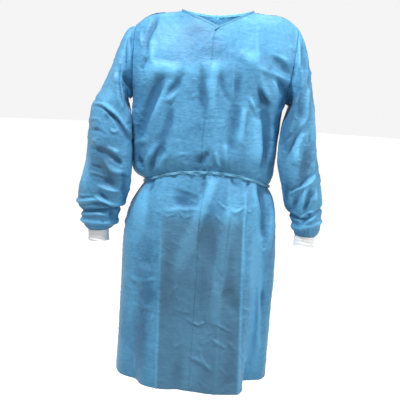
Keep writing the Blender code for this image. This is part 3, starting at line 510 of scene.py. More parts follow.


# %% [markdown]
# Light and shade are painted into the cloth's colour. A ridge is painted paler, a painted highlight,
# and a trough darker, a painted shade, each by its own lift. Broad pale and dark patches, painted
# highlights and painted shade, are placed the same way, as creases that only change the colour. A
# band down the skirt and two patches on the sleeves are painted darker and greyer, a painted shade.
# Each point keeps one number for its painted fold light and shade and one for the grey painted
# shade, and the finish uses both.

# %% Painted light and shade of thin cloth
SHADE_RANGE = 0.022
FRONT_PAINTED_SHADES = creases((
    # skirt
    (30, 8, 83, -504, 65, -624, 50, -698, 46, -798, 40, -873, 34, -934),
    (28, 3.5, 18, -464, -12, -545, -36, -639, -65, -719, -96, -795),
    (60, 4, -25, -925, -30, -1007, -28, -1140), (45, 2.5, -185, -610, -175, -641, -180, -690),
    (30, 2.5, -200, -765, -157, -750), (30, 2.5, 138, -529, 160, -630, 150, -726, 147, -828),
    (38, -4, -106, -640, -111, -782, -116, -920), (36, -3.5, 6, -580, 3, -725, -2, -825, 6, -885),
    (26, -4, 83, -683, 78, -772, 79, -873), (32, -3.5, 82, -913, 97, -1000, 93, -1120),
    (34, -4, -180, -818, -152, -863), (28, 3, -201, -520, -201, -599, -209, -670),
    (26, 3, 161, -866, 171, -1005, 171, -1100),
    (34, 6, 158, -590, 168, -800, 172, -1000, 172, -1150),
    (42, -4, -172, -560, -178, -760, -186, -960, -190, -1150),
    # chest
    (85, -3, -60, 20, -66, -20, -60, -90), (60, -2, 0, -50, -4, -120),
    (20, -3, -100, -150, -118, -200, -146, -236), (22, -3, -126, -262, -136, -324, -155, -400),
    (20, -3, 162, -280, 174, -375, 163, -445), (26, 3.5, 121, -269, 130, -352, 126, -416),
    (34, 1.2, -126, -43, -160, -78, -176, -128), (45, 1.5, 94, -15, 98, -105),
    (50, -1.5, -46, -194, -31, -317, -56, -402), (36, -2, -181, -186, -205, -310, -215, -376),
    # sleeves
    (60, -3, -296, -364, -320, -448, -315, -526), (10, -5, -268, -168, -258, -200, -249, -226),
    (30, 3, -304, -224, -341, -261), (22, 4, -378, -400, -388, -503, -390, -546),
    (16, -5, -260, -480, -257, -540, -268, -584), (8, 6, 254, -40, 249, -110, 240, -172),
    (12, -3, 261, -60, 270, -132, 259, -172), (10, 5, 279, -120, 277, -199, 262, -240),
    (22, -5, 240, -196, 234, -273, 227, -314), (16, -4, 257, -268, 248, -333, 228, -380, 221, -416),
    (14, 4, 302, -230, 311, -301, 320, -360), (16, 4, 296, -305, 287, -340),
    (14, -4, 315, -494, 308, -544), (14, -5, 241, -470, 243, -533, 264, -572),
    (22, -6, 226, -243, 222, -321, 224, -377), (30, -4, 295, -374, 289, -430, 278, -478),
))
# Painted shade: a grey patch low on each sleeve
PAINTED_SHADE_PATCHES = creases((
    (60, 5, -296, -364, -320, -448, -315, -526), (30, 5, 295, -374, 289, -430, 278, -478),
))
BAND_HEIGHTS = (-1.18, -0.82, -0.57)     # the band down the skirt that is painted darker and greyer, a painted shade
BAND_LEFT = (-0.129, -0.133, -0.138)
BAND_RIGHT = (0.126, 0.116, 0.109)
BAND_EDGE = 0.004
BAND_FADE = 0.045
print(len(FRONT_PAINTED_SHADES) + len(PAINTED_SHADE_PATCHES), "shades")

# %% [markdown]
# Four more things shape the cloth: a slow unevenness everywhere, fine gathers at the tie and above
# the cuffs, the pucker beside a seam, and the upper panel's free edge, which lies on the lower
# panel. Cloth never crosses its neighbours, so each point moves less than half of its distance to
# the nearest other piece.

# %% Unevenness, gathers and room
Gathers = namedtuple("Gathers", "number height reach rise")     # rise: higher in front by this
WAIST_MIDDLE = (-0.0070, 0.0, -0.490)
WAIST_GATHERS = Gathers(47, 0.0011, 0.034, 0.035)
WRIST_ABOVE_CUFF = Vector((0, 0, 0.026))
WRIST_GATHERS = Gathers(23, 0.0013, 0.026, 0.0)
SHARE_OF_ROOM = 0.42
FAR = 0.03
SEAM_REACH = 0.0035
PUCKER_LIFT, PUCKER_REACH = 0.0012, 0.012
LAPPED = {"front_left", "front_right"}
LAP_NEAR = 0.006
LAP_LEFT = 0.0009         # what is left between the upper panel's outer side and the lower panel's
LAP_REACH = 0.018
SIDEWAYS, FACING_FADE = 0.35, 0.5     # how far round the sides the front's and back's creases go


def read(mesh, field):
    values = np.empty(3 * len(mesh.vertices))
    mesh.vertices.foreach_get(field, values)
    return values.reshape(-1, 3)


def unevenness(points):
    slow = [noise.fractal(Vector(p) * 14.0, 1.0, 2.0, 2) for p in points]
    fast = [noise.fractal(Vector(p) * 48.0 + Vector((3, 1, 7)), 0.9, 2.1, 3) for p in points]
    return 0.0016 * np.array(slow) + 0.0009 * np.array(fast)


def pleats(points, place, gathers):
    turn = np.arctan2(points[:, 0] - place[0], -(points[:, 1] - place[1]))
    away = points[:, 2] - place[2] - gathers.rise * np.cos(turn)
    wave = np.cos(gathers.number * turn + 1.3 * np.sin(3.0 * turn) + 0.8 * np.sin(7.0 * turn + 1.0))
    uneven = 0.7 + 0.3 * np.sin(5.0 * turn + 0.7)
    return gathers.height * wave * uneven * np.exp(-(away / gathers.reach) ** 2)


def tree_of(*pieces):
    """A search tree of all the faces of these pieces."""
    points, faces = [], []
    for piece in pieces:
        start = len(points)
        points += [vertex.co.copy() for vertex in piece.data.vertices]
        faces += [tuple(start + i for i in face.vertices) for face in piece.data.polygons]
    return BVHTree.FromPolygons(points, faces)


def middle_of(node):
    low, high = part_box(node)
    return (Vector(low) + Vector(high)) / 2


def tree_of_others(node):
    skipped = LAPPED if node in LAPPED else {node}
    return tree_of(*(piece for other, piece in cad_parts.items() if other not in skipped))


def edge_near(piece, other, reach):
    """Places on a piece's edge that lie near another's faces, and how far each is from them."""
    mesh = bmesh.new()
    mesh.from_mesh(piece.data)
    places = [vertex.co.copy() for vertex in mesh.verts if vertex.is_boundary]
    mesh.free()
    distances = [other.find_nearest(place, reach)[3] for place in places]
    return [pair for pair in zip(places, distances) if pair[1] is not None]


def tree_of_places(pairs):
    tree = KDTree(len(pairs))
    for number, (place, _) in enumerate(pairs):
        tree.insert(place, number)
    tree.balance()
    return tree


def lap_meets(node, points):
    """Near the free edge the two panels come towards each other, half the way each."""
    lift = np.zeros(len(points))
    for row, place in enumerate(points):
        _, number, distance = edge_tree.find(Vector(place))
        lift[row] = 0.5 * (lap_edge[number][1] - LAP_LEFT) * math.exp(-(distance / LAP_REACH) ** 2)
    return lift if node == "front_left" else -lift


def room_around(node, piece, points):
    """Distance to the nearest other piece or to the piece's own seam, up to FAR."""
    others = tree_of_others(node)
    seams = tree_of_places(edge_near(piece, others, SEAM_REACH))
    room = []
    for place in points:
        place = Vector(place)
        distance = others.find_nearest(place, FAR)[3]
        room.append(min(FAR, seams.find(place)[2], FAR if distance is None else distance))
    return np.array(room)


def painted_band_shade(points):
    """How far the skirt's band is painted darker and greyer, a painted shade."""
    x, z = points[:, 0], points[:, 2]
    from_left = np.clip((x - np.interp(z, BAND_HEIGHTS, BAND_LEFT)) / BAND_EDGE, 0.0, 1.0)
    from_right = np.clip((np.interp(z, BAND_HEIGHTS, BAND_RIGHT) - x) / BAND_EDGE, 0.0, 1.0)
    return from_left * from_right * np.clip((BAND_HEIGHTS[-1] - z) / BAND_FADE, 0.0, 1.0)


def note(piece, name, values):
    marks = piece.data.attributes.new(name, "FLOAT", "POINT")
    marks.data.foreach_set("value", np.clip(values, 0.0, 1.0))


def move_points(piece, points):
    piece.data.vertices.foreach_set("co", points.ravel())
    piece.data.update()


def crease_cloth(node, piece):
    points, normals = read(piece.data, "co"), read(piece.data, "normal")
    facing_front = np.clip((SIDEWAYS - normals[:, 1]) / FACING_FADE, 0.0, 1.0)
    facing_back = np.clip((SIDEWAYS + normals[:, 1]) / FACING_FADE, 0.0, 1.0)
    is_sleeve = node.startswith("sleeve")
    lift = facing_front * lift_of_creases(points, FRONT_CREASES)
    lift += facing_back * lift_of_creases(points, BACK_CREASES)
    # Painted light and shade: ridges and pale patches lighter, troughs and dark patches darker
    shade = lift + facing_front * lift_of_creases(points, FRONT_PAINTED_SHADES)
    note(piece, "fold", 0.5 + shade / SHADE_RANGE)
    # Painted shade: the sleeves' grey patches and the skirt's band, darker and greyer
    patch_shade = lift_of_creases(points, PAINTED_SHADE_PATCHES) / SHADE_RANGE
    note(piece, "painted_grey_shade", facing_front * (patch_shade + painted_band_shade(points) * (not is_sleeve)))
    lift += facing_front * lift_of_creases(points, FRONT_CRINKLES)
    lift += facing_back * lift_of_creases(points, BACK_CRINKLES)
    lift += unevenness(points)
    if is_sleeve:
        wrist = middle_of(node.replace("sleeve", "cuff")) + WRIST_ABOVE_CUFF
        lift += pleats(points, wrist, WRIST_GATHERS)
    else:
        lift += pleats(points, WAIST_MIDDLE, WAIST_GATHERS)
    if node in LAPPED:
        lift += lap_meets(node, points)
    room = room_around(node, piece, points)
    pucker = [noise.noise(Vector(p) * 110.0) for p in points]
    lift += PUCKER_LIFT * np.array(pucker) * np.exp(-(room / PUCKER_REACH) ** 2)
    limit = SHARE_OF_ROOM * room + 1e-6
    lift = limit * np.tanh(lift / limit)
    move_points(piece, points + normals * lift[:, None])
    return lift


lap_edge = edge_near(shells["front_right"], tree_of(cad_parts["front_left"]), LAP_NEAR)
edge_tree = tree_of_places(lap_edge)
for node, shell in shells.items():
    lift = crease_cloth(node, shell)
    lowest, highest = (round(end / MM, 1) for end in (lift.min(), lift.max()))
    print(shell.name, "lifts from", lowest, "to", highest, "mm")

# %% [markdown]
# Two pieces meet in a sewn seam. A stitch is modelled once, as a small rounded bar of thread, and
# copied along each seam: the seam's line is the row of edge points that lie on the neighbour, and
# the stitches stand a little way in from it, flat on the cloth.

# %% A stitch and the line of a seam
STITCH = (0.0026, 0.00045, 0.00040)     # length, width, height
STITCH_STEP = 0.0042
STITCH_LIFT = 0.0001
SEAM_NEAR = 0.0012


def stitch_model():
    bpy.ops.object.select_all(action="DESELECT")
    bpy.ops.mesh.primitive_uv_sphere_add(segments=6, ring_count=5, radius=0.5)
    model = bpy.context.object
    bpy.ops.transform.rotate(value=math.pi / 2, orient_axis="Y", center_override=(0, 0, 0))
    bpy.ops.object.transform_apply(rotation=True)
    with all_in_edit_mode(model):
        bpy.ops.transform.resize(value=STITCH)
    mesh = model.data.copy()
    bpy.data.objects.remove(model)
    return mesh


def seam_chains(piece, neighbours):
    """Rows of a piece's edge points that lie on its neighbours, each with the way inward."""
    trees = [tree_of(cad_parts[name]) for name in neighbours]
    mesh = bmesh.new()
    mesh.from_mesh(piece.data)
    links = {}
    inward = {}
    for edge in mesh.edges:
        if len(edge.link_faces) != 1:
            continue
        a, b = edge.verts
        middle = (a.co + b.co) / 2
        if all(tree.find_nearest(middle, SEAM_NEAR)[0] is None for tree in trees):
            continue
        links.setdefault(a.index, []).append(b.index)
        links.setdefault(b.index, []).append(a.index)
        way = (edge.link_faces[0].calc_center_median() - middle).normalized()
        inward[a.index] = inward[b.index] = way
    mesh.verts.ensure_lookup_table()
    chains = []
    left = set(links)
    while left:
        ends = [i for i in left if len(links[i]) == 1]
        at = min(ends) if ends else min(left)
        chain = []
        while at is not None:
            left.discard(at)
            chain.append((mesh.verts[at].co.copy(), inward[at]))
            at = next((i for i in links[at] if i in left), None)
        chains.append(chain)
    mesh.free()
    return chains


# %% Rows of stitches
def places_along(chain, step):
    walked, due = 0.0, step / 2
    for (a, way), (b, _) in zip(chain, chain[1:]):
        length = (b - a).length
        while length > 0 and walked + length >= due:
            yield a.lerp(b, (due - walked) / length), (b - a).normalized(), way
            due += step
        walked += length


def sewn_piece(name, built):
    mesh = bpy.data.meshes.new(name)
    built.to_mesh(mesh)
    built.free()
    piece = bpy.data.objects.new(name, mesh)
    bpy.context.collection.objects.link(piece)
    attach(piece, "root")
    return piece


def sew(name, piece, neighbours, inset, on=None):
    """Stitches beside a piece's seams, on the piece or, with a negative inset, on another."""
    model = stitch_model()
    ground = tree_of(on or piece)
    joined = bmesh.new()
    number = 0
    for chain in seam_chains(piece, neighbours):
        for point, along, way in places_along(chain, STITCH_STEP):
            spot, out, _, _ = ground.find_nearest(point + way * inset, 0.01)
            if spot is None:
                continue
            along = (along - out * along.dot(out)).normalized()
            turn = Matrix((along, out.cross(along), out)).transposed().to_4x4()
            start = len(joined.verts)
            joined.from_mesh(model)
            joined.verts.ensure_lookup_table()
            for vertex in joined.verts[start:]:
                vertex.co = spot + out * STITCH_LIFT + (turn @ vertex.co)
            number += 1
    row = sewn_piece(name, joined)
    row.data.shade_smooth()
    print(name, number, "stitches")
    return row


# %% [markdown]
# Armholes, shoulders, side seams and wrists each get a row of stitches, just inside the seam.

# %% Stitches of the body and sleeves
stitch_rows = [
    sew("stitches_armhole_left", shells["sleeve_left"], ("front_left", "back"), 0.0030),
    sew("stitches_armhole_right", shells["sleeve_right"], ("front_right", "back"), 0.0030),
    sew("stitches_back", shells["back"], ("front_left", "front_right"), 0.0032),
    sew("stitches_wrist_left", shells["sleeve_left"], ("cuff_left",), 0.0026),
    sew("stitches_wrist_right", shells["sleeve_right"], ("cuff_right",), 0.0026),
]

# %% [markdown]
# Behind the shoulder and side seams lie the edges of both pieces, sewn together and pressed open.
# They are one strip on the inside, so that no light comes through the seam.

# %% Seam allowances
ALLOWANCE = 0.0045        # the strip's half width
ALLOWANCE_DEPTH = 0.0010  # below the cloth's outer side
ALLOWANCE_WALL = 0.0004


def seam_allowance(name, piece, neighbours):
    ground = tree_of(piece)
    strip = bmesh.new()
    for chain in seam_chains(piece, neighbours):
        last = None
        for point, way in chain:
            out = ground.find_nearest(point + way * ALLOWANCE)[1]
            deep = point - out * ALLOWANCE_DEPTH
            row = [strip.verts.new(deep + way * half) for half in (-ALLOWANCE, ALLOWANCE)]
            if last:
                strip.faces.new((last[0], last[1], row[1], row[0]))
            last = row
    bmesh.ops.solidify(strip, geom=strip.faces[:], thickness=ALLOWANCE_WALL)
    bmesh.ops.recalc_face_normals(strip, faces=strip.faces[:])
    allowance = sewn_piece(name, strip)
    print(name, len(allowance.data.polygons), "faces")
    return allowance


allowance = seam_allowance("allowance_back", shells["back"], ("front_left", "front_right"))

# %% [markdown]
# The neck edge is bound with a strip of the same cloth, folded over it. Its wall is copied whole,
# its corners are bevelled, and a subdivision surface rounds the fold along the top.

# %% Neck binding
BINDING_RIPPLE = 0.00018

binding = copy_wall("neck_binding", "cloth_neck_binding")
back_to_quads(binding)
soften_corners(binding, 0.00035, 2)
round_off(binding, 2)
points, normals = read(binding.data, "co"), read(binding.data, "normal")
ripple = np.array([noise.fractal(Vector(p) * 70.0, 1.0, 2.0, 2) for p in points])
move_points(binding, points + normals * BINDING_RIPPLE * ripple[:, None])
binding.data.shade_smooth()
for node in ("front_left", "front_right", "back"):
    row = sew("stitches_neck_" + node, shells[node], ("neck_binding",), -0.0024, on=binding)
    stitch_rows.append(row)
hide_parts("neck_binding")
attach(binding, "root")
print(binding.name, len(binding.data.polygons), "faces")

# %% [markdown]
# The cuffs are rib-knit tubes. The ribs are in the wall already; the copy is rounded, sags in soft
# rings as a knit tube does on a wrist, and gets a UV map, turn by height, for its loops of yarn.

# %% Cuffs
CUFF_RINGS = 0.0115       # from one soft ring to the next
CUFF_SAG = 0.0015
CUFF_SEWN, CUFF_FADE = 0.004, 0.008     # calm beside the seam, and the way from there to full rings


def map_round(piece, middle, low, high):
    layer = piece.data.uv_layers.new(name="knit")
    for face in piece.data.polygons:
        turns = []
        for index in face.vertices:
            place = piece.data.vertices[index].co - middle
            turns.append(math.atan2(place.x, -place.y) / (2 * math.pi) + 0.5)
        if max(turns) - min(turns) > 0.5:
            turns = [turn + 1.0 if turn < 0.5 else turn for turn in turns]
        for loop, index, turn in zip(face.loop_indices, face.vertices, turns):
            height = (piece.data.vertices[index].co.z - low) / (high - low)
            layer.data[loop].uv = (turn, height)


def knit_cuff(node):
    cuff = copy_wall(node, "knit_" + node)
    back_to_quads(cuff)
    round_off(cuff, 2)
    low, high = (Vector(corner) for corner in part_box(node))
    middle = (low + high) / 2
    points = read(cuff.data, "co")
    out = points - np.array(middle)
    out[:, 2] = 0.0
    out /= np.linalg.norm(out, axis=1)[:, None]
    turn = np.arctan2(points[:, 0] - middle.x, middle.y - points[:, 1])
    slant = 1.1 * np.sin(turn + 0.4) + 0.7 * np.sin(3 * turn)
    rings = np.sin(2 * np.pi * points[:, 2] / CUFF_RINGS + slant)
    calm = np.clip((high.z - CUFF_SEWN - points[:, 2]) / CUFF_FADE, 0.0, 1.0)
    sag = CUFF_SAG * rings * calm * (0.75 + 0.25 * np.sin(2 * turn + 1.0))
    move_points(cuff, points + out * sag[:, None])
    cuff.data.shade_smooth()
    map_round(cuff, middle, low.z, high.z)
    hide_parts(node)
    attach(cuff, "root")
    print(cuff.name, len(cuff.data.polygons), "faces")
    return cuff


cuffs = {node: knit_cuff(node) for node in ("cuff_left", "cuff_right")}

# %% [markdown]
# The tie is a long strip, folded and pressed, and lies round the waist on the crests of the
# gathers. Its wall is a ring of flat sections. The copy is rounded, and each section is turned a
# little about the tie's own line, this way and that, and lifted as much as that turn needs.

# %% Waist tie
TIE_TURN = math.radians(34)
TIE_HALF = 0.0045
TIE_LIFT = 0.0002
TIE_PARTS = 96            # stretches whose middles give the tie's line
TIE_AHEAD = 0.04          # of a turn in radians, for the line's way

tie = copy_wall("waist_tie", "cloth_waist_tie")
back_to_quads(tie)
soften_corners(tie, 0.0003, 1)
round_off(tie, 2)
points = read(tie.data, "co")
low, high = (np.array(corner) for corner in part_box("waist_tie"))
centre = (low + high) / 2
turn = np.arctan2(points[:, 0] - centre[0], -(points[:, 1] - centre[1]))
parts = np.floor((turn + np.pi) / (2 * np.pi) * TIE_PARTS).astype(int) % TIE_PARTS
mean_turn = np.array([turn[parts == k].mean() for k in range(TIE_PARTS)])
mean_place = np.array([points[parts == k].mean(axis=0) for k in range(TIE_PARTS)])


def tie_line(angles):
    """Points of the tie's own line at these turns round the waist."""
    columns = [np.interp(angles, mean_turn, column, period=2 * np.pi) for column in mean_place.T]
    return np.stack(columns, axis=1)


middles = tie_line(turn)
runs = tie_line(turn + TIE_AHEAD) - tie_line(turn - TIE_AHEAD)
for vertex, around, middle, run in zip(tie.data.vertices, turn, middles, runs):
    base, along = Vector(middle), Vector(run).normalized()
    out = along.cross(Vector((0, 0, 1))).normalized()
    wave = math.sin(17.0 * around + 1.8 * math.sin(2.0 * around) + 0.5)
    angle = TIE_TURN * wave * abs(wave)
    offset = Matrix.Rotation(angle, 3, along) @ (vertex.co - base)
    vertex.co = base + offset + out * (TIE_LIFT + TIE_HALF * abs(math.sin(angle)))
tie.data.update()
tie.data.shade_smooth()
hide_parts("waist_tie")
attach(tie, "root")
print(tie.name, len(tie.data.polygons), "faces")

# %% [markdown]
# Behind, the tie's two halves are knotted: each one goes round the other and comes back to its own
# side, and its free end hangs down. A strand is a soft strip that is bunched inside the knot and
# flat outside it. It is rolled up from a grid whose rows are set along the strand's way.

# %% Strands of the knot
KNOT_MIDDLE = Vector((-0.0070, 0.1231, -0.5050))
STRAND_AROUND = 16
# x, y outward, height, width and thickness in millimetres, from the knot's middle
STRAND_LEFT = (
    (-30, -6.9, -0.5, 9.0, 1.2), (-23, -6.3, 0.3, 8.4, 1.5), (-16, -4.6, 1.8, 7.0, 2.6),
    (-10, -3.2, 3.0, 5.2, 4.0), (-6, -2.7, 3.3, 5.0, 4.3), (0, 2.4, 4.9, 4.9, 4.3),
    (6, 0.2, 6.6, 5.0, 4.4), (10.5, -3.0, 4.3, 5.0, 4.2), (11.9, -3.5, 0, 5.1, 4.2),
    (10.5, -3.0, -4.3, 5.0, 4.3), (6, 0.2, -6.6, 5.0, 4.4), (0, 2.4, -4.9, 4.9, 4.3),
    (-6, -2.7, -3.4, 5.0, 4.2), (-11, -2.4, -5.2, 5.8, 3.4), (-14.5, -1.0, -11, 7.4, 2.2),
    (-16.5, 1.5, -22, 8.6, 1.5), (-19, 5.5, -42, 9.0, 1.3), (-23, 9.6, -68, 9.0, 1.3),
    (-26, 13.0, -96, 9.0, 1.3), (-30, 15.6, -130, 9.0, 1.3), (-33, 17.4, -168, 9.0, 1.3),
)
STRAND_RIGHT = (
    (30, -6.9, -0.4, 9.0, 1.2), (23, -6.2, 0.2, 8.4, 1.5), (16, -3.4, 1.4, 7.0, 2.6),
    (10, 1.8, 3.0, 5.2, 4.0), (6, 2.8, 3.3, 5.0, 4.3), (0, -2.6, 4.7, 4.9, 4.3),
    (-6, 0.6, 6.4, 5.0, 4.4), (-10.5, 3.1, 4.3, 5.0, 4.2), (-11.9, 3.5, 0, 5.1, 4.2),
    (-10.5, 3.1, -4.3, 5.0, 4.3), (-6, 0.6, -6.4, 5.0, 4.4), (0, -2.6, -4.7, 4.9, 4.3),
    (6, 2.8, -3.4, 5.0, 4.2), (11, 2.4, -5.0, 5.8, 3.4), (14.0, 1.6, -11, 7.4, 2.2),
    (15.0, 2.8, -22, 8.6, 1.5), (15.5, 6.2, -46, 9.0, 1.3), (17.5, 9.8, -76, 9.0, 1.3),
    (21, 13.6, -112, 9.0, 1.3), (25.5, 16.4, -158, 9.0, 1.3), (30, 18.8, -208, 9.0, 1.3),
)


def signed_power(value, power):
    return math.copysign(abs(value) ** power, value)


def strand(name, rows):
    curve = smooth_rows(rows)
    last = len(curve) - 1
    bpy.ops.object.select_all(action="DESELECT")
    bpy.ops.mesh.primitive_grid_add(x_subdivisions=STRAND_AROUND, y_subdivisions=last, size=1)
    piece = bpy.context.object
    piece.name = name
    way = np.gradient(curve[:, :3], axis=0)
    for vertex in piece.data.vertices:
        angle = 2 * math.pi * (vertex.co.x + 0.5)
        k = round((vertex.co.y + 0.5) * last)
        along = Vector(way[k]).normalized()
        side = Vector((0, 1, 0)).cross(along).normalized()
        out = along.cross(side)
        x, y, z, width, thick = curve[k]
        fold = 1.0 + 0.10 * math.sin(3 * angle + 0.21 * k)
        across = side * width / 2 * signed_power(math.cos(angle), 0.7)
        through = out * thick / 2 * signed_power(math.sin(angle), 0.8) * fold
        vertex.co = KNOT_MIDDLE + (Vector((x, y, z)) + across + through) * MM
    with all_in_edit_mode(piece):
        bpy.ops.mesh.remove_doubles(threshold=MERGE)
        bpy.ops.mesh.fill_holes(sides=0)
        bpy.ops.mesh.select_all(action="SELECT")
        bpy.ops.mesh.normals_make_consistent(inside=False)
    piece.data.shade_smooth()
    return piece


def strand_length(rows):
    curve = smooth_rows(rows)[:, :3] * MM
    return float(np.linalg.norm(np.diff(curve, axis=0), axis=1).sum())


# %% The knot and its free ends
knot = strand("cloth_tie_knot", STRAND_LEFT)
other_half = strand("cloth_tie_half", STRAND_RIGHT)
bpy.ops.object.select_all(action="DESELECT")
other_half.select_set(True)
knot.select_set(True)
bpy.context.view_layer.objects.active = knot
bpy.ops.object.join()
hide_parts("tie_knot")
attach(knot, "root")
both = strand_length(STRAND_LEFT) + strand_length(STRAND_RIGHT)
print("strands of the knot", round(both, 3), "m,", len(knot.data.polygons), "faces")

# %% [markdown]
# The shells now get their thickness, inward, and the size of their cloth is printed.

# %% Thickness and sizes of the cloth
CLOTH = 0.0006


def area_of(piece):
    return sum(face.area for face in piece.data.polygons)


def thicken(piece, thickness):
    solid = piece.modifiers.new("thickness", "SOLIDIFY")
    solid.thickness = thickness
    solid.offset = -1.0
    solid.use_even_offset = True
    apply_modifier(piece, solid)
    piece.data.shade_smooth()


for node, shell in shells.items():
    plan = SHELLS[node]
    print(node, "cloth", round(area_of(shell), 3), "square metres")
    thicken(shell, CLOTH)
    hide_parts(node)
    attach(shell, "root")
    triangles = sum(len(face.vertices) - 2 for face in shell.data.polygons)
    print(shell.name, triangles, "triangles")

for node, cuff in cuffs.items():
    print(node, "knit", round(area_of(cuff) / 2, 4), "square metres")
print("binding", round(area_of(binding) / 2, 4), "square metres")

# %% [markdown]
# Shader maths is easier to read as plain expressions. A Wire is a socket that can be added and
# multiplied like a number, and a Finish is a material that makes its nodes.

# %% Wires and finishes
class Wire:
    def __init__(self, finish, socket):
        self.finish, self.socket = finish, socket

    def math(self, operation, *values):
        return self.finish.node("Math", {"operation": operation}, dict(enumerate((self,) + values)))

    def __add__(self, other):
        return self.math("ADD", other)

    def __sub__(self, other):
        return self.math("SUBTRACT", other)

    def __mul__(self, other):
        return self.math("MULTIPLY", other)

    def __rsub__(self, other):
        return self.finish.node("Math", {"operation": "SUBTRACT"}, {0: other, 1: self})

    __radd__ = __add__
    __rmul__ = __mul__

    def clamp(self):
        return self.finish.node("Clamp", {}, {"Value": self})


class Finish:
    def __init__(self, name):
        self.material = bpy.data.materials.new(name)
        self.material.use_nodes = True
        self.tree = self.material.node_tree
        self.shader = self.tree.nodes["Principled BSDF"]

    def feed(self, socket, value):
        if isinstance(value, Wire):
            self.tree.links.new(value.socket, socket)
        else:
            socket.default_value = value

    def node(self, kind, settings, sockets, output=0):
        node = self.tree.nodes.new("ShaderNode" + kind)
        for key, value in settings.items():
            setattr(node, key, value)
        for key, value in sockets.items():
            self.feed(node.inputs[key], value)
        return Wire(self, node.outputs[output])

    def place(self):
        return self.node("TexCoord", {}, {}, "Object")

    def noise(self, place, scale, detail):
        return self.node("TexNoise", {}, {"Vector": place, "Scale": scale, "Detail": detail})

    def stretched(self, place, factors):
        return self.node("Mapping", {}, {"Vector": place, "Scale": factors})

    def between(self, share, low, high):
        low, high = (end if isinstance(end, Wire) else (*end, 1.0) for end in (low, high))
        return self.node("Mix", {"data_type": "RGBA"}, {"Factor": share, 6: low, 7: high}, 2)

    def ramp(self, value, low, high):
        sockets = {"Value": value, "From Min": low, "From Max": high}
        return self.node("MapRange", {"interpolation_type": "SMOOTHSTEP"}, sockets)

    def bump(self, height, strength, distance):
        return self.node("Bump", {}, {"Height": height, "Strength": strength, "Distance": distance})

    def set(self, **values):
        for key, value in values.items():
            self.feed(self.shader.inputs[key.replace("_", " ")], value)
        return self.material


# %% [markdown]
# Spunbond non-woven is a web of fine threads, melted together in a grid of tiny points. It is thin,
# cloudy in tone, a little shiny, and pebbled by its points and by many soft crinkles.

# %% Non-woven
# the colour of the painted grey shade
PAINTED_SHADE_GREY = (0.062, 0.135, 0.200)
FOLD_SHARE = 1.4          # how far the painted fold light and shade change the cloth's colour
GREY_SHADE_SHARE = 0.60        # how far the painted grey shade greys it


def non_woven(name, deep, light, creased=False):
    finish = Finish(name)
    place = finish.place()
    cloud = finish.noise(place, 6.0, 3.0)
    mottle = finish.noise(place, 85.0, 4.0)
    streak = finish.noise(finish.stretched(place, (9.0, 9.0, 130.0)), 1.0, 3.0)
    crumple = finish.noise(finish.stretched(place, (80.0, 80.0, 190.0)), 1.0, 4.0)
    wrinkle = finish.noise(finish.stretched(place, (22.0, 22.0, 48.0)), 1.0, 2.0)
    ridge = 1.0 - finish.ramp((wrinkle - 0.5).math("ABSOLUTE"), 0.0, 0.035)
    points = finish.node("TexVoronoi", {}, {"Vector": place, "Scale": 430.0}, "Distance")
    # The crinkles' ridge lines are painted a little lighter, a painted highlight; cloud, mottle and
    # streak vary the tone at random.
    tone = (0.9 * cloud + 0.6 * mottle + 0.35 * streak + 0.10 * ridge - 0.45).clamp()
    height = 0.9 * crumple + 0.3 * mottle + 0.12 * points + 0.3 * streak + 0.16 * ridge
    # The body's cloth gets its painted fold light and shade and its painted grey shade.
    if creased:
        fold = finish.node("Attribute", {"attribute_name": "fold"}, {}, "Fac")
        painted_grey_shade = finish.node("Attribute", {"attribute_name": "painted_grey_shade"}, {}, "Fac")
        tone = (tone + FOLD_SHARE * (fold - 0.5)).clamp()
        colour = finish.between(GREY_SHADE_SHARE * painted_grey_shade, finish.between(tone, deep, light), PAINTED_SHADE_GREY)
    else:
        colour = finish.between(tone, deep, light)
    return finish.set(
        Base_Color=colour,
        Roughness=0.40 + 0.24 * mottle,
        Normal=finish.bump(height, 0.8, 0.0016),
        Sheen_Weight=0.08,
        Sheen_Roughness=0.45,
        Sheen_Tint=(0.75, 0.92, 1.0, 1.0),
        Specular_IOR_Level=0.28,
    )


cloth_finish = non_woven("non_woven_cloth", (0.036, 0.15, 0.29), (0.12, 0.405, 0.67), creased=True)
binding_finish = non_woven("non_woven_binding", (0.055, 0.205, 0.35), (0.105, 0.32, 0.49))
tie_finish = non_woven("non_woven_tie", (0.060, 0.215, 0.36), (0.150, 0.39, 0.56))
thread_finish = non_woven("thread", (0.085, 0.26, 0.41), (0.145, 0.37, 0.54))

# %% [markdown]
# The cuffs' yarn is white with a faint lilac shade. Loops of yarn stand in columns, and fine fluff
# softens them.

# %% Rib knit
RIBS = 108
KNIT_ROWS = 17


def rib_knit(name):
    finish = Finish(name)
    turn_and_height = finish.node("UVMap", {"uv_map": "knit"}, {})
    parts = finish.tree.nodes.new("ShaderNodeSeparateXYZ")
    finish.feed(parts.inputs[0], turn_and_height)
    turn, rise = Wire(finish, parts.outputs[0]), Wire(finish, parts.outputs[1])
    column = (turn * (2 * math.pi * RIBS)).math("COSINE")
    slant = (turn * (math.pi * RIBS)).math("COSINE")
    loop = (rise * (2 * math.pi * KNIT_ROWS) + 1.4 * slant).math("SINE")
    fluff = finish.noise(finish.place(), 900.0, 3.0)
    height = 0.55 * column + 0.3 * loop + 0.5 * fluff
    # Where ribs and loops stand up they are painted lighter and in the grooves darker, a painted
    # highlight and painted shade; the fluff's tone differs at random.
    shade = (0.5 + 0.22 * column + 0.12 * loop + 0.35 * (fluff - 0.5)).clamp()
    return finish.set(
        Base_Color=finish.between(shade, (0.86, 0.86, 0.90), (0.98, 0.98, 0.98)),
        Roughness=0.92 - 0.1 * fluff,
        Normal=finish.bump(height, 0.4, 0.0005),
        Sheen_Weight=0.25,
        Sheen_Roughness=0.6,
    )


knit_finish = rib_knit("rib_knit")


def dress(piece, material):
    piece.data.materials.clear()
    piece.data.materials.append(material)


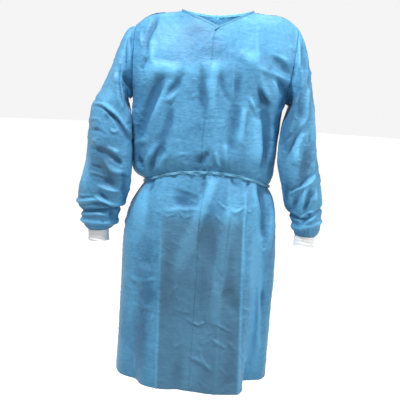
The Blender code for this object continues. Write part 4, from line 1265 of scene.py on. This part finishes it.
for shell in shells.values():
    dress(shell, cloth_finish)
for cuff in cuffs.values():
    dress(cuff, knit_finish)
for row in stitch_rows:
    dress(row, thread_finish)
dress(allowance, binding_finish)
dress(binding, binding_finish)
dress(tie, tie_finish)
dress(knot, tie_finish)
print(len(bpy.data.materials), "finishes")

# %% [markdown]
# A pale floor lies well below the hem, and the light is that of a white studio: a lamp above the
# camera and to its left, which leaves the skirt in half shade, two softer ones, a faint one inside
# the neck, and white surroundings.

# %% Floor and light
bpy.ops.object.select_all(action="DESELECT")
bpy.ops.mesh.primitive_plane_add(size=30, location=(0, 0, -1.5))
floor = bpy.context.object
floor.name = "floor"
floor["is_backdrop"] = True
WHITE = (1.0, 1.0, 1.0, 1.0)
dress(floor, Finish("pale_floor").set(
    Base_Color=(0.88, 0.88, 0.88, 1.0), Roughness=0.9, Emission_Color=WHITE, Emission_Strength=0.5))
floor.visible_diffuse = False

bpy.ops.object.select_all(action="DESELECT")
bpy.ops.mesh.primitive_uv_sphere_add(segments=48, ring_count=24, radius=14.0)
backdrop = bpy.context.object
backdrop.name = "backdrop"
backdrop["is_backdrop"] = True
dress(backdrop, Finish("backdrop_paper").set(
    Base_Color=(0.0, 0.0, 0.0, 1.0), Roughness=1.0, Emission_Color=WHITE, Emission_Strength=0.9))
for sees in ("diffuse", "glossy", "shadow", "transmission", "volume_scatter"):
    setattr(backdrop, "visible_" + sees, False)

world = bpy.data.worlds.new("world")
bpy.context.scene.world = world
world.use_nodes = True
surroundings = world.node_tree.nodes["Background"].inputs
surroundings["Color"].default_value = WHITE
surroundings["Strength"].default_value = 0.56
bpy.context.scene.view_settings.view_transform = "Standard"


def add_lamp(name, place, target, size, power):
    lamp = bpy.data.lights.new(name, "AREA")
    lamp.size = size
    lamp.energy = power
    holder = bpy.data.objects.new(name, lamp)
    bpy.context.collection.objects.link(holder)
    aim = (Vector(target) - Vector(place)).to_track_quat("-Z", "Y")
    holder.matrix_world = Matrix.Translation(place) @ aim.to_matrix().to_4x4()


add_lamp("key", (-0.55, -0.95, 1.35), (0.0, 0.0, -0.30), 0.3, 48)
add_lamp("top", (0.3, 0.5, 1.5), (0.0, 0.0, -0.1), 0.8, 12)
add_lamp("side", (1.7, -0.9, 0.5), (0.0, 0.0, -0.4), 0.6, 22)
add_lamp("neck", (0.0, -0.035, 0.075), (0.0, 0.06, -0.02), 0.09, 0.55)
print("four lights with the surroundings")

# %% [markdown]
# Last, the sizes of the imported model and of the dressed one are set side by side, and the dressed
# one's size is printed.

# %% Sizes
low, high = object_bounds()
{"cad": [list(cad_low), list(cad_high)], "visual": [list(low), list(high)]}
print("dressed", [round(v, 3) for v in high - low], "m")
